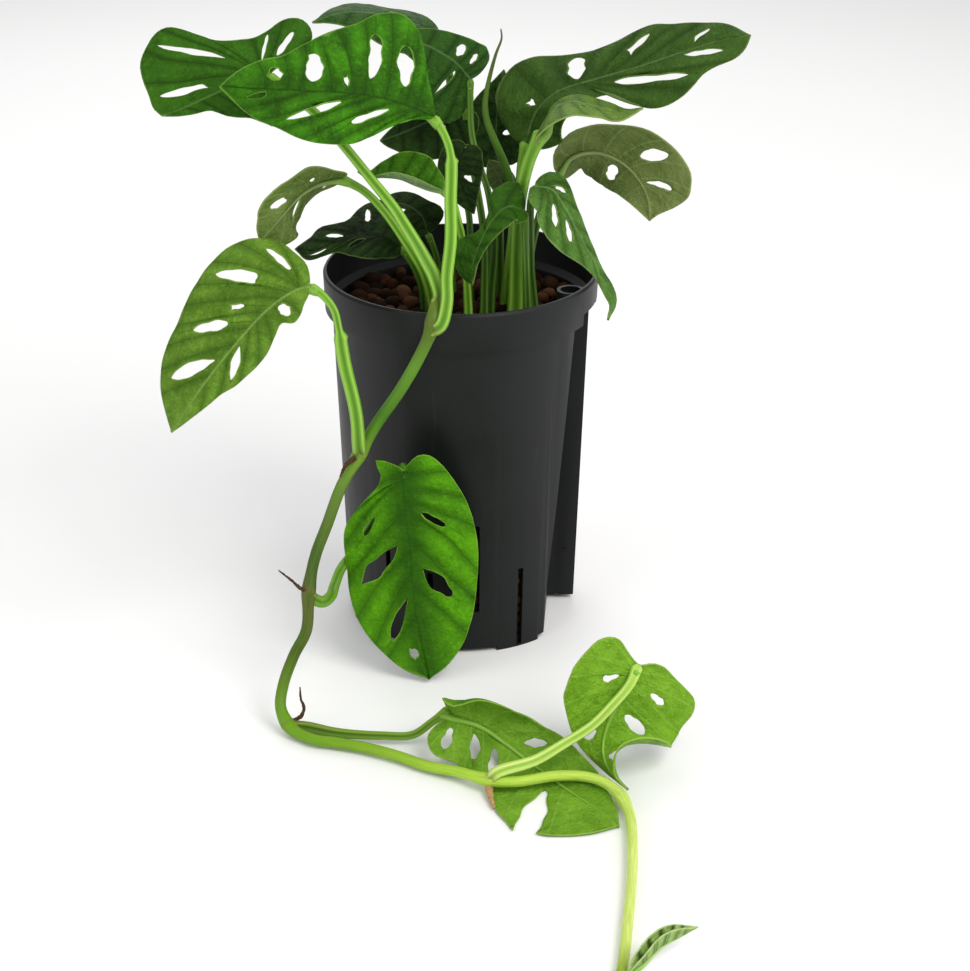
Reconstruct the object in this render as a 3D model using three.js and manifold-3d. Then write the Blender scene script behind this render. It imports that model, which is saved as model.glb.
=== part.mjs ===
// Swiss cheese plant (Monstera adansonii) with one long trailing vine, in a tapered
// hydroculture pot filled with clay granules. Millimetres, +Z up, front towards -Y.
// The origin is the centre of the pot's base, on the surface that the pot stands on.
import * as THREE from 'three';
import { ConvexGeometry } from 'three/addons/geometries/ConvexGeometry.js';
import { mergeVertices } from 'three/addons/utils/BufferGeometryUtils.js';
import Module from 'manifold-3d';

const wasm = await Module();
wasm.setup();

// ---------------------------------------------------------------- driving dimensions
const POT = {
  height: 192, rimRadius: 70.6, rimBand: 20, bodyTopRadius: 66.3, baseRadius: 60.3,
  wall: 1.8, floor: 2, footHeight: 3, footInner: 52, padRadius: 14, segments: 48,
};
const SLIT = {
  count: 16, firstAngle: 7.5, width: 3, low: [1, 46], high: [24, 74], archWidth: 22,
  recessFrom: 40, recessTo: 96,
};
// The recess for the water gauge: corners of its inner edge at the foot and under the rim.
const RECESS = { footX: 43, footFront: -44, topX: 50, topFront: -32, skew: 3, back: 2, top: 178, reach: 90 };
const COLLAR = { x: 55.5, y: -23, outer: 7, bore: 5.2, top: 188, sides: 16 };
const BED = {
  top: 170, granule: 6.5, count: 105, rise: 2.5, rings: 11, segments: 42, gap: 0.5, seed: 11,
};
const GAP = 0.3; // clearance between pieces that touch
const BLADE = {
  thickness: 0.9, ribThickness: 2, rows: 5, quilt: 0.006, widestLane: 0.15, leastWidth: 0.008,
  veinBow: 0.05,
};
const EASE = { passes: 16, step: 0.12, leastTurn: 1e-4 }; // how a perforation is fitted to its lane
const PETIOLE = { sides: 6, groove: 0.3, stepLength: 11, shortBy: 1.8 };
const VINE = { radius: 3.1, tipRadius: 2.35, sides: 7, steps: 58, swell: 0.28, nodeWidth: 6 };

const COLOURS = {
  pot: 0x2e302f, granules: 0x7a3f22, bladeBright: 0x3f8a1c, bladeDark: 0x2c5c1e,
  bladeOlive: 0x6b7f4a, bladeYoung: 0x7fb03a, petiole: 0x8fc243, vine: 0x6fa238, root: 0x4a3222,
};

// ---------------------------------------------------------------- solids and meshes
const rad = THREE.MathUtils.degToRad;
const vec = (p) => new THREE.Vector3(...p);

function solidOf(geometry) {
  const bare = geometry.clone();
  bare.deleteAttribute('normal');
  bare.deleteAttribute('uv');
  const merged = mergeVertices(bare, 1e-4);
  const corners = [...merged.index.array];
  const triVerts = [];
  for (let k = 0; k < corners.length; k += 3) {
    const [a, b, c] = corners.slice(k, k + 3);
    if (a !== b && b !== c && c !== a) triVerts.push(a, b, c);
  }
  return new wasm.Manifold(new wasm.Mesh({
    numProp: 3,
    vertProperties: new Float32Array(merged.attributes.position.array),
    triVerts: new Uint32Array(triVerts),
  }));
}

// The largest body of a solid: what a cut leaves loose is dropped.
function mainBody(solid) {
  const bodies = solid.decompose();
  return bodies.reduce((best, body) => (body.volume() > best.volume() ? body : best));
}

function geometryOf(solid) {
  const mesh = mainBody(solid).getMesh();
  const geometry = new THREE.BufferGeometry();
  geometry.setAttribute('position', new THREE.BufferAttribute(new Float32Array(mesh.vertProperties), 3));
  geometry.setIndex(new THREE.BufferAttribute(new Uint32Array(mesh.triVerts), 1));
  geometry.computeVertexNormals();
  return geometry;
}

const plant = new THREE.Group();

function addPiece(name, solid, colour, roughness = 0.5) {
  const material = new THREE.MeshStandardMaterial({ color: colour, roughness, metalness: 0 });
  const mesh = new THREE.Mesh(geometryOf(solid), material);
  mesh.name = name;
  plant.add(mesh);
}

// A seeded random number between 0 and 1.
function randomFrom(seed) {
  let state = seed;
  return () => {
    state = (state * 1664525 + 1013904223) % 4294967296;
    return state / 4294967296;
  };
}

// ---------------------------------------------------------------- swept stems
// Closes rings of equal length into one tube with flat ends.
function loft(rings) {
  const positions = rings.flat().flatMap((p) => [p.x, p.y, p.z]);
  const sides = rings[0].length;
  const index = [];
  for (let r = 0; r + 1 < rings.length; r += 1) {
    for (let s = 0; s < sides; s += 1) {
      const a = r * sides + s;
      const b = r * sides + ((s + 1) % sides);
      index.push(a, b, b + sides, a, b + sides, a + sides);
    }
  }
  const last = (rings.length - 1) * sides;
  for (let s = 1; s + 1 < sides; s += 1) {
    index.push(0, s + 1, s);
    index.push(last, last + s, last + s + 1);
  }
  const geometry = new THREE.BufferGeometry();
  geometry.setAttribute('position', new THREE.Float32BufferAttribute(positions, 3));
  geometry.setIndex(index);
  return geometry;
}

// A tapered stem along a curve. radiusAt(u) gives its radius, face is the side with the groove.
function stem(points, radiusAt, { sides, steps, face = [0, -1, 0.4], groove = 0, grow = 0, to = 1 }) {
  const curve = new THREE.CatmullRomCurve3(points.map(vec), false, 'centripetal');
  const rings = [];
  for (let k = 0; k <= steps; k += 1) {
    const u = (k / steps) * to;
    const centre = curve.getPointAt(u);
    const along = curve.getTangentAt(u);
    const up = vec(face).addScaledVector(along, -vec(face).dot(along)).normalize();
    const side = new THREE.Vector3().crossVectors(along, up);
    const ring = [];
    for (let s = 0; s < sides; s += 1) {
      const angle = (s / sides) * 2 * Math.PI;
      const depth = s === 0 ? 1 - groove : 1;
      const radius = (radiusAt(u) + grow) * depth;
      ring.push(centre.clone()
        .addScaledVector(up, Math.cos(angle) * radius)
        .addScaledVector(side, -Math.sin(angle) * radius));
    }
    rings.push(ring);
  }
  return solidOf(loft(rings.map((ring) => ring.reverse())));
}

// ---------------------------------------------------------------- leaf blades
// A blade is drawn flat in fractions of its length: x runs along the midrib from the
// joint to the tip, y runs out to the margin. The midrib's curve, the direction of the
// upper face and the fold of each half then bend that drawing into space.
const WIDE_HALF = 0.35; // where the fold's second angle holds, near a wide leaf's margin

// The two entries of an evenly spaced list that x (0 to 1) lies between.
function between(list, x) {
  const spans = list.length - 1;
  const i = Math.min(Math.floor(x * spans), spans - 1);
  return { before: list[i], after: list[i + 1], f: x * spans - i };
}

class BladeSurface {
  constructor({ rib, up, foldLeft = [[0, 0], [0, 0]], foldRight = [[0, 0], [0, 0]] }) {
    this.curve = new THREE.CatmullRomCurve3(rib.map(vec), false, 'centripetal');
    this.curve.arcLengthDivisions = 400;
    this.length = this.curve.getLength();
    this.up = up.map((u) => vec(u).normalize());
    this.fold = { left: foldLeft, right: foldRight };
  }

  upAt(x) {
    const { before, after, f } = between(this.up, x);
    return before.clone().lerp(after, f);
  }

  // The half's angle to the midrib's plane, at the midrib and at the margin, in radians.
  foldAt(side, x) {
    const { before, after, f } = between(this.fold[side], x);
    return before.map((angle, i) => rad(THREE.MathUtils.lerp(angle, after[i], f)));
  }

  pointAt(side, x, y) {
    const inside = THREE.MathUtils.clamp(x, 0, 1);
    const point = this.curve.getPointAt(inside);
    const along = this.curve.getTangentAt(inside);
    point.addScaledVector(along, (x - inside) * this.length);
    const up = this.upAt(inside);
    up.addScaledVector(along, -up.dot(along)).normalize();
    const out = new THREE.Vector3().crossVectors(along, up);
    const [start, end] = this.foldAt(side, inside);
    const bend = (end - start) / WIDE_HALF + 1e-6;
    const sideways = (Math.sin(start + bend * y) - Math.sin(start)) / bend;
    const upward = (Math.cos(start) - Math.cos(start + bend * y)) / bend;
    point.addScaledVector(out, (side === 'left' ? -1 : 1) * sideways * this.length);
    return point.addScaledVector(up, upward * this.length);
  }
}

// The margin of one half, from the joint to the tip.
function marginCurve(points) {
  const flat = [[0, 0], ...points, [1, 0]].map(([x, y]) => new THREE.Vector3(x, y, 0));
  const curve = new THREE.CatmullRomCurve3(flat, false, 'centripetal');
  curve.arcLengthDivisions = 400;
  return curve;
}

// A perforation is [x, y] at its inner end, [x, y] at its outer end, and its width.
// Its axis runs from the midrib to the margin: this finds both ends of that line.
function axisOf([x1, y1, x2, y2], margin) {
  const root = THREE.MathUtils.clamp(x1 - ((x2 - x1) * y1) / Math.max(y2 - y1, 0.01), 0.02, 0.97);
  const from = new THREE.Vector2(x1, y1);
  const direction = new THREE.Vector2(x2 - x1, y2 - y1);
  const reach = direction.length();
  direction.normalize();
  let best = { miss: Infinity, end: 1 };
  for (let k = 1; k < 100; k += 1) {
    const point = margin.getPointAt(k / 100);
    const offset = new THREE.Vector2(point.x, point.y).sub(from);
    const ahead = offset.dot(direction);
    const miss = Math.abs(offset.cross(direction)) + (ahead < reach ? 1 : 0) + ahead * 0.05;
    if (miss < best.miss) best = { miss, end: k / 100 };
  }
  return { root, end: best.end };
}

const ROOT_STEP = 0.02; // least distance between two lateral veins at the midrib

// Moves a vein's start towards the tip where it would cut across the next one's lane.
function uncross(edges, margin) {
  const tips = edges.map(({ end }) => margin.getPointAt(end));
  for (let k = 1; k + 1 < edges.length; k += 1) {
    const [before, tip] = [tips[k - 1], tips[k]];
    const rises = tip.y > before.y + 1e-3 && tip.x > before.x;
    const least = rises && k > 1 ? tip.x - ((tip.x - before.x) * tip.y) / (tip.y - before.y) : 0;
    edges[k - 1].root = Math.max(edges[k - 1].root, Math.ceil(least * 20) / 20);
    edges[k].root = Math.max(edges[k].root, edges[k - 1].root);
  }
}

// Lanes of the blade between its lateral veins: one for each perforation, and plain
// ones where the margin would otherwise be too coarse. Veins that leave the midrib
// together, near the joint, do so at fanAt.
function lanesOf({ holes = [], fanAt }, margin) {
  const widest = BLADE.widestLane;
  const centres = holes.map((hole) => ({ ...axisOf(hole, margin), hole }));
  centres.sort((a, b) => a.end - b.end);
  const filled = [];
  let before = { root: 0, end: 0 };
  [...centres, { root: 1, end: 1, last: true }].forEach((centre) => {
    const gap = centre.end - before.end;
    const extra = Math.max(0, Math.ceil(gap / widest) - 1);
    for (let k = 1; k <= extra; k += 1) {
      const f = k / (extra + 1);
      filled.push({
        root: THREE.MathUtils.lerp(before.root, centre.root, f),
        end: THREE.MathUtils.lerp(before.end, centre.end, f),
      });
    }
    if (!centre.last) filled.push(centre);
    before = centre;
  });
  let root = 0;
  filled.forEach((lane) => {
    lane.root = fanAt ?? Math.max(lane.root, root + ROOT_STEP);
    root = lane.root;
  });
  const edges = [{ root: 0, end: 0 }];
  for (let k = 0; k + 1 < filled.length; k += 1) {
    edges.push({
      root: (filled[k].root + filled[k + 1].root) / 2,
      end: (filled[k].end + filled[k + 1].end) / 2,
    });
  }
  edges.push({ root: 1, end: 1 });
  edges.forEach((edge) => { edge.root = Math.round(edge.root * 20) / 20; });
  if (fanAt === undefined) uncross(edges, margin);
  return filled.map((lane, k) => ({ ...lane, from: edges[k], to: edges[k + 1] }));
}

// A line from the midrib to the margin, bowed a little towards the joint.
function veinPoint({ root, end }, margin, t) {
  const tip = margin.getPointAt(end);
  const bow = end > 0 && end < 1 ? BLADE.veinBow * t * (1 - t) : 0;
  return [THREE.MathUtils.lerp(root, tip.x, t) - bow, tip.y * t];
}

const mix = (a, b, t) => [THREE.MathUtils.lerp(a[0], b[0], t), THREE.MathUtils.lerp(a[1], b[1], t)];

// Both edges of a perforation at row r of its lane; they meet at its ends.
function holeEdges(lane, margin, r, rows) {
  const [x1, y1, x2, y2, width, torn] = lane.hole;
  const tip = margin.getPointAt((lane.from.end + lane.to.end) / 2);
  const middleRoot = (lane.from.root + lane.to.root) / 2;
  if (r === 0) return [[middleRoot, 0], [middleRoot, 0]];
  if (r === rows && !torn) return [[tip.x, tip.y], [tip.x, tip.y]];
  const f = (r - 1) / (torn ? rows - 1 : rows - 2);
  const middle = mix([x1, y1], torn ? [tip.x, tip.y] : [x2, y2], f);
  const bulge = torn ? Math.sqrt(f) : 1.06 * Math.sqrt(Math.max(0, 1 - (2 * f - 1) ** 2));
  const across = new THREE.Vector2(y2 - y1, x1 - x2).setLength((bulge * width) / 2);
  return [[middle[0] - across.x, middle[1] - across.y], [middle[0] + across.x, middle[1] + across.y]];
}

// Twice the signed area of a flat triangle.
const turn = ([ax, ay], [bx, by], [cx, cy]) => (bx - ax) * (cy - ay) - (by - ay) * (cx - ax);

// Whether the strip of the lane beside column c folds over between rows r and r + 1.
function foldsOver(columns, r, c) {
  const [[a, b], [d, e]] = [columns[r].slice(c, c + 2), columns[r + 1].slice(c, c + 2)];
  const turns = r === 0 ? [turn(a, d, b), turn(b, d, e)] : [turn(a, d, e), turn(a, e, b)];
  return Math.max(...turns) > (r === 0 ? EASE.leastTurn : -EASE.leastTurn);
}

// Draws a perforation in towards the middle of its lane wherever its lane would fold over.
function ease(columns) {
  const rows = columns.length - 1;
  const drawIn = (row) => {
    const middle = mix(row[0], row[3], 0.5);
    row[1] = mix(row[1], middle, EASE.step);
    row[2] = mix(row[2], middle, EASE.step);
  };
  for (let pass = 0; pass < EASE.passes; pass += 1) {
    for (let r = 0; r < rows; r += 1) {
      if (foldsOver(columns, r, 0) || foldsOver(columns, r, 2)) {
        if (r > 0) drawIn(columns[r]);
        if (r + 1 < rows) drawIn(columns[r + 1]);
      }
    }
  }
}

// The columns of points of one lane, from the midrib outwards.
function columnsOf(lane, margin, rows) {
  const columns = [];
  for (let r = 0; r <= rows; r += 1) {
    const inner = veinPoint(lane.from, margin, r / rows);
    const outer = veinPoint(lane.to, margin, r / rows);
    columns.push(lane.hole ? [inner, ...holeEdges(lane, margin, r, rows), outer] : [inner, outer]);
  }
  if (lane.hole) ease(columns);
  return columns;
}

// Both halves of a blade as one sheet of triangles through its middle.
function bladeSheet(leaf, surface) {
  const positions = [];
  const ribness = [];
  const index = [];
  const put = (side, [x, y], lift) => {
    const onRib = Math.abs(y) < 1e-9;
    const point = surface.pointAt(side, x, onRib ? 0 : Math.max(y, BLADE.leastWidth));
    const up = surface.upAt(THREE.MathUtils.clamp(x, 0, 1));
    point.addScaledVector(up, lift * surface.length);
    positions.push(point.x, point.y, point.z);
    ribness.push(onRib ? 1 : 0);
    return ribness.length - 1;
  };
  const rows = BLADE.rows;
  const halves = ['left', 'right'].map((side) => {
    const margin = marginCurve(leaf[side].margin);
    const lanes = lanesOf(leaf[side], margin);
    return { side, lanes: lanes.map((lane) => ({ lane, columns: columnsOf(lane, margin, rows) })) };
  });
  // The halves share every point of the midrib that either of them uses.
  const stops = halves.flatMap(({ lanes }) => lanes.flatMap(({ columns }) => columns[0].map(([x]) => x)));
  halves.forEach(({ side, lanes }) => {
    const triangle = (a, b, c) => index.push(a, ...(side === 'right' ? [b, c] : [c, b]));
    lanes.forEach(({ lane, columns }) => {
      const onHole = (c) => lane.hole && (c === 1 || c === 2);
      const lift = (r, c) => (onHole(c) ? BLADE.quilt * Math.sin((Math.PI * r) / rows) : 0);
      const grid = columns.map((row, r) => row.map((point, c) => put(side, point, lift(r, c))));
      const strips = lane.hole ? [0, 2] : [0];
      strips.forEach((c) => {
        const [from, to] = [columns[0][c][0], columns[0][c + 1][0]];
        const between = stops.filter((x) => x > from + 1e-6 && x < to - 1e-6).sort((a, b) => a - b);
        const edge = [grid[0][c], ...between.map((x) => put(side, [x, 0], 0)), grid[0][c + 1]];
        for (let k = 0; k + 1 < edge.length; k += 1) triangle(edge[k], grid[1][c], edge[k + 1]);
        triangle(grid[0][c + 1], grid[1][c], grid[1][c + 1]);
        for (let r = 1; r < rows; r += 1) {
          triangle(grid[r][c], grid[r + 1][c], grid[r + 1][c + 1]);
          triangle(grid[r][c], grid[r + 1][c + 1], grid[r][c + 1]);
        }
      });
    });
  });
  return { positions, ribness, index };
}

const WELD = 0.1; // points nearer than this are one

// Merges the sheet's shared points and drops the triangles that this closes up.
function weld({ positions, ribness, index }) {
  const keyOf = (i) => positions.slice(3 * i, 3 * i + 3).map((c) => Math.round(c / WELD)).join();
  const seen = new Map();
  const remap = ribness.map((_, i) => {
    const key = keyOf(i);
    if (!seen.has(key)) seen.set(key, seen.size);
    return seen.get(key);
  });
  const points = [];
  const rib = [];
  remap.forEach((to, i) => {
    points[to] = new THREE.Vector3(...positions.slice(3 * i, 3 * i + 3));
    rib[to] = Math.max(rib[to] ?? 0, ribness[i]);
  });
  const triangles = [];
  for (let k = 0; k < index.length; k += 3) {
    const [a, b, c] = index.slice(k, k + 3).map((i) => remap[i]);
    if (a !== b && b !== c && c !== a) triangles.push([a, b, c]);
  }
  return { points, rib, triangles };
}

// Gives the sheet its thickness: both faces have the same triangles, and walls close
// the margin and every perforation.
function thicken({ points, rib, triangles }, extra) {
  const normals = points.map(() => new THREE.Vector3());
  triangles.forEach(([a, b, c]) => {
    const normal = new THREE.Vector3().subVectors(points[b], points[a])
      .cross(new THREE.Vector3().subVectors(points[c], points[a]));
    [a, b, c].forEach((i) => normals[i].add(normal));
  });
  normals.forEach((normal) => normal.normalize());
  const count = points.length;
  const index = [];
  const edges = new Map();
  triangles.forEach(([a, b, c]) => {
    index.push(a, b, c, a + count, c + count, b + count);
    [[a, b], [b, c], [c, a]].forEach(([p, q]) => {
      if (edges.has(`${q} ${p}`)) edges.delete(`${q} ${p}`);
      else edges.set(`${p} ${q}`, [p, q]);
    });
  });
  const outwards = points.map(() => new THREE.Vector3());
  edges.forEach(([p, q]) => {
    const out = new THREE.Vector3().subVectors(points[q], points[p]).cross(normals[p]).normalize();
    [p, q].forEach((i) => outwards[i].add(out));
  });
  const half = BLADE.thickness / 2 + extra;
  const keel = BLADE.ribThickness - BLADE.thickness;
  const grown = points.map((p, i) => p.clone().addScaledVector(outwards[i].normalize(), 1.5 * extra));
  const upper = grown.map((p, i) => p.clone().addScaledVector(normals[i], half));
  const lower = grown.map((p, i) => p.clone().addScaledVector(normals[i], -half - keel * rib[i]));
  edges.forEach(([p, q]) => index.push(p, p + count, q + count, p, q + count, q));
  const geometry = new THREE.BufferGeometry();
  const flat = [...upper, ...lower].flatMap((p) => [p.x, p.y, p.z]);
  geometry.setAttribute('position', new THREE.Float32BufferAttribute(flat, 3));
  geometry.setIndex(index);
  return geometry;
}

function blade(leaf, extra = 0) {
  return solidOf(thicken(weld(bladeSheet(leaf, new BladeSurface(leaf))), extra));
}

// ---------------------------------------------------------------- the leaves
// rib: the midrib from the joint to the tip. up: the upper face's direction along it.
// fold: angles in degrees at the midrib and at the margin, for the joint and the tip.
// petiole: from its foot to the joint; foot and neck are its radii.
const LEAVES = [
  {
    name: 'leaf_left_high', colour: COLOURS.bladeBright,
    rib: [[-12, -62, 289], [-23, -66, 295], [-35, -70, 300], [-51, -75, 304], [-67, -79, 306],
      [-87, -83, 308], [-110, -86, 310]],
    up: [[-0.1, -0.75, 0.65], [0, -0.8, 0.6]],
    foldLeft: [[-5, -20], [-5, -20]], foldRight: [[5, 0], [5, 0]],
    left: {
      margin: [[0.02, 0.02], [0.08, 0.04], [0.18, 0.1], [0.3, 0.18], [0.41, 0.23], [0.55, 0.235],
        [0.65, 0.215], [0.75, 0.17], [0.85, 0.13], [0.93, 0.07]],
      holes: [[0.22, 0.04, 0.41, 0.135, 0.035], [0.48, 0.05, 0.73, 0.14, 0.09],
        [0.74, 0.02, 0.86, 0.05, 0.035]],
    },
    right: {
      margin: [[0.02, 0.06], [0.07, 0.15], [0.11, 0.26], [0.15, 0.36], [0.22, 0.42], [0.3, 0.4],
        [0.38, 0.34], [0.51, 0.28], [0.62, 0.22], [0.72, 0.16], [0.83, 0.13], [0.93, 0.07]],
      holes: [[0.17, 0.08, 0.19, 0.27, 0.07], [0.34, 0.08, 0.31, 0.29, 0.1], [0.42, 0.02, 0.44, 0.07, 0.03],
        [0.6, 0.04, 0.58, 0.17, 0.2], [0.75, 0.04, 0.76, 0.1, 0.06]],
    },
    petiole: {
      points: [[-9, -79.5, 190], [-6, -76, 201], [-6, -72, 212], [-4, -71, 231], [-4, -69, 250],
        [-4, -66, 272], [-7, -64, 281], [-12, -62, 289]],
      foot: 3.3, neck: 2.4,
    },
  },
  {
    name: 'leaf_far_left', colour: COLOURS.bladeDark,
    rib: [[-92, -36, 301.7], [-100.2, -41, 301.1], [-109.3, -47, 299.3], [-119.4, -53, 296.1],
      [-130.3, -59, 292.4], [-140.3, -64, 289.9]],
    up: [[0, -0.85, 0.5], [-0.25, -0.9, 0.35]],
    left: {
      margin: [[-0.02, 0.1], [-0.03, 0.25], [0, 0.38], [0.08, 0.44], [0.25, 0.375], [0.33, 0.31],
        [0.43, 0.27], [0.52, 0.21], [0.6, 0.12], [0.74, 0.085], [0.88, 0.045]],
    },
    right: {
      fanAt: 0.05,
      margin: [[-0.1, 0.06], [-0.25, 0.12], [-0.4, 0.16], [-0.5, 0.22], [-0.53, 0.32], [-0.49, 0.41],
        [-0.4, 0.45], [-0.28, 0.44], [-0.15, 0.385], [0, 0.35], [0.12, 0.355], [0.29, 0.42], [0.4, 0.53],
        [0.5, 0.64], [0.61, 0.69], [0.75, 0.655], [0.89, 0.585], [0.98, 0.49], [1.02, 0.36], [1.03, 0.2],
        [1.04, 0.08]],
      holes: [[-0.14, 0.155, -0.37, 0.33, 0.05], [0.06, 0.2, -0.14, 0.37, 0.07],
        [0.4, 0.41, 0.8, 0.62, 0.13], [0.37, 0.125, 0.96, 0.17, 0.09]],
    },
    petiole: {
      points: [[-9.5, -69, 201], [-12.4, -67, 211.2], [-15.8, -65, 217.2], [-20.1, -62, 224.3],
        [-25.4, -59, 232.5], [-31.6, -57, 242.2], [-43.3, -48, 254.4], [-55.4, -42, 268.1],
        [-67.4, -38, 281.5], [-81.6, -36, 293.8], [-92, -36, 301.7]],
      foot: 3.6, neck: 2.3,
    },
  },
  {
    name: 'leaf_top_back', colour: COLOURS.bladeBright,
    rib: [[-12, 28, 303], [-23, 28, 311], [-35, 25, 315], [-50, 20, 319], [-62, 15, 319], [-73, 10, 316]],
    up: [[0, -0.3, 0.95], [0, -0.3, 0.95]],
    foldLeft: [[-10, -25], [-10, -25]], foldRight: [[-10, -25], [-10, -25]],
    left: {
      margin: [[-0.03, 0.08], [0.04, 0.22], [0.2, 0.31], [0.4, 0.32], [0.6, 0.25], [0.8, 0.13], [0.92, 0.05]],
      holes: [[0.2, 0.09, 0.32, 0.19, 0.05], [0.45, 0.08, 0.55, 0.18, 0.06]],
    },
    right: {
      margin: [[-0.03, 0.08], [0.04, 0.22], [0.2, 0.31], [0.4, 0.32], [0.6, 0.25], [0.8, 0.13], [0.92, 0.05]],
      holes: [[0.3, 0.09, 0.4, 0.2, 0.06]],
    },
    petiole: {
      points: [[-4, 8, 146], [-5, 10, 180], [-5, 14, 220], [-4, 20, 258], [-5, 24, 278], [-7, 27, 293],
        [-12, 28, 303]],
      foot: 3, neck: 2,
    },
  },
  {
    name: 'leaf_top_middle', colour: COLOURS.bladeDark,
    rib: [[5, 5, 289], [-2, 2, 298], [-10, 0, 304], [-19, -3, 309], [-29, -7, 311], [-38, -11, 309]],
    up: [[0.2, -0.7, 0.7], [0.1, -0.8, 0.6]],
    foldLeft: [[-20, -30], [-20, -30]],
    left: {
      margin: [[-0.06, 0.06], [-0.14, 0.15], [-0.19, 0.3], [-0.14, 0.44], [0, 0.47], [0.17, 0.4], [0.4, 0.28],
        [0.7, 0.15], [0.88, 0.06]],
      holes: [[0.17, 0.05, 0.18, 0.34, 0.06]],
    },
    right: {
      margin: [[-0.04, 0.08], [-0.07, 0.2], [-0.06, 0.32], [0.03, 0.37], [0.15, 0.32], [0.3, 0.26],
        [0.45, 0.21], [0.7, 0.12], [0.88, 0.05]],
      holes: [[0.1, 0.1, 0.08, 0.24, 0.05], [0.25, 0.06, 0.22, 0.21, 0.07]],
    },
    petiole: {
      points: [[14, -12, 146], [15, -12, 180], [17, -12, 210], [14, -10, 235], [10, -6, 247], [6, 0, 261],
        [5, 4, 279], [5, 5, 289]],
      foot: 3.4, neck: 1.6,
    },
  },
  {
    name: 'leaf_right_high', colour: COLOURS.bladeDark,
    rib: [[33, -5, 260], [38, -8, 276], [48, -12, 287], [68, -16, 295], [88, -20, 302], [107, -22, 309],
      [126, -22, 315], [141, -20, 317]],
    up: [[-0.2, -0.65, 0.75], [0, -0.65, 0.75]],
    foldRight: [[0, -20], [0, -20]],
    left: {
      margin: [[-0.02, 0.05], [0, 0.1], [0.05, 0.15], [0.1, 0.2], [0.15, 0.22], [0.2, 0.2], [0.27, 0.155],
        [0.36, 0.13], [0.45, 0.13], [0.55, 0.15], [0.65, 0.16], [0.73, 0.135], [0.85, 0.095], [0.94, 0.06]],
      holes: [[0.15, 0.015, 0.14, 0.05, 0.03], [0.34, 0.015, 0.34, 0.115, 0.09],
        [0.55, 0.075, 0.66, 0.13, 0.06], [0.77, 0.05, 0.85, 0.075, 0.03]],
    },
    right: {
      margin: [[0, 0.06], [0.06, 0.14], [0.15, 0.16], [0.25, 0.12], [0.35, 0.085], [0.43, 0.078],
        [0.49, 0.1], [0.54, 0.145], [0.585, 0.18], [0.64, 0.187], [0.7, 0.172], [0.75, 0.143],
        [0.79, 0.115], [0.84, 0.098], [0.92, 0.085], [0.97, 0.05]],
      holes: [[0.485, 0.045, 0.77, 0.1, 0.09], [0.7, 0.02, 0.885, 0.05, 0.05]],
    },
    petiole: {
      points: [[22, -6, 146], [24, -6, 180], [27, -5, 213], [30, -4, 234], [31, -4, 247], [33, -5, 260]],
      foot: 4.4, neck: 2.6,
    },
  },
  {
    name: 'leaf_right_arched', colour: COLOURS.bladeBright,
    rib: [[40, -34, 273], [44, -37, 284], [54, -40, 290], [67, -43, 288], [79, -46, 286], [88, -48, 289]],
    up: [[-0.4, -0.1, 0.95], [0, 0, 1]],
    left: {
      margin: [[-0.05, 0.08], [-0.02, 0.16], [0.1, 0.17], [0.34, 0.15], [0.49, 0.155], [0.64, 0.17],
        [0.8, 0.13], [0.93, 0.06]],
    },
    right: {
      margin: [[-0.03, 0.1], [0.04, 0.3], [0.2, 0.4], [0.37, 0.37], [0.53, 0.25], [0.71, 0.2], [0.83, 0.21],
        [0.93, 0.12]],
      holes: [[0.47, 0.03, 0.53, 0.08, 0.06]],
    },
    petiole: {
      points: [[27, -20, 146], [28, -20, 180], [28.5, -20, 213], [30, -23, 237], [34, -28, 257],
        [40, -34, 273]],
      foot: 5, neck: 3.2,
    },
  },
  {
    name: 'leaf_right_low', colour: COLOURS.bladeOlive,
    rib: [[49, -5, 243], [55, -5, 252], [66, -5, 255], [78, -7, 252], [88, -10, 244], [94, -13, 233],
      [95, -16, 222]],
    up: [[-0.5, 0.7, 0.5], [0.4, 0.8, 0.5]],
    left: {
      margin: [[-0.03, 0.07], [0, 0.13], [0.08, 0.18], [0.2, 0.26], [0.33, 0.31], [0.48, 0.3], [0.61, 0.27],
        [0.77, 0.2], [0.9, 0.12]],
      holes: [[0.5, 0.07, 0.52, 0.22, 0.11]],
    },
    right: {
      margin: [[0.03, 0.06], [0.09, 0.12], [0.15, 0.19], [0.21, 0.25], [0.3, 0.275], [0.41, 0.3],
        [0.52, 0.36], [0.62, 0.39], [0.72, 0.4], [0.8, 0.39], [0.86, 0.33], [0.91, 0.2], [0.96, 0.06]],
      holes: [[0.32, 0.02, 0.47, 0.07, 0.07], [0.6, 0.13, 0.68, 0.33, 0.07],
        [0.74, 0.02, 0.83, 0.2, 0.07]],
    },
    petiole: {
      points: [[32, 4, 146], [34, 2, 175], [36, 0, 201], [40, -2, 220], [45, -4, 234], [49, -5, 243]],
      foot: 3, neck: 2,
    },
  },
  {
    name: 'leaf_over_rim', colour: COLOURS.bladeDark,
    rib: [[37, -32, 245], [45, -34, 244], [52, -34, 234], [59, -33, 220], [66, -31, 206], [72, -30, 193],
      [76, -30, 183], [74, -32, 175]],
    up: [[0.1, -0.5, 0.85], [0.7, -0.6, 0.4], [0.8, -0.6, 0.2]],
    left: {
      margin: [[0, 0.05], [0.03, 0.1], [0.08, 0.135], [0.16, 0.12], [0.26, 0.095], [0.37, 0.08], [0.5, 0.065],
        [0.6, 0.05], [0.7, 0.045], [0.8, 0.06], [0.87, 0.06], [0.94, 0.03]],
      holes: [[0.08, 0.02, 0.16, 0.06, 0.04]],
    },
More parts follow.
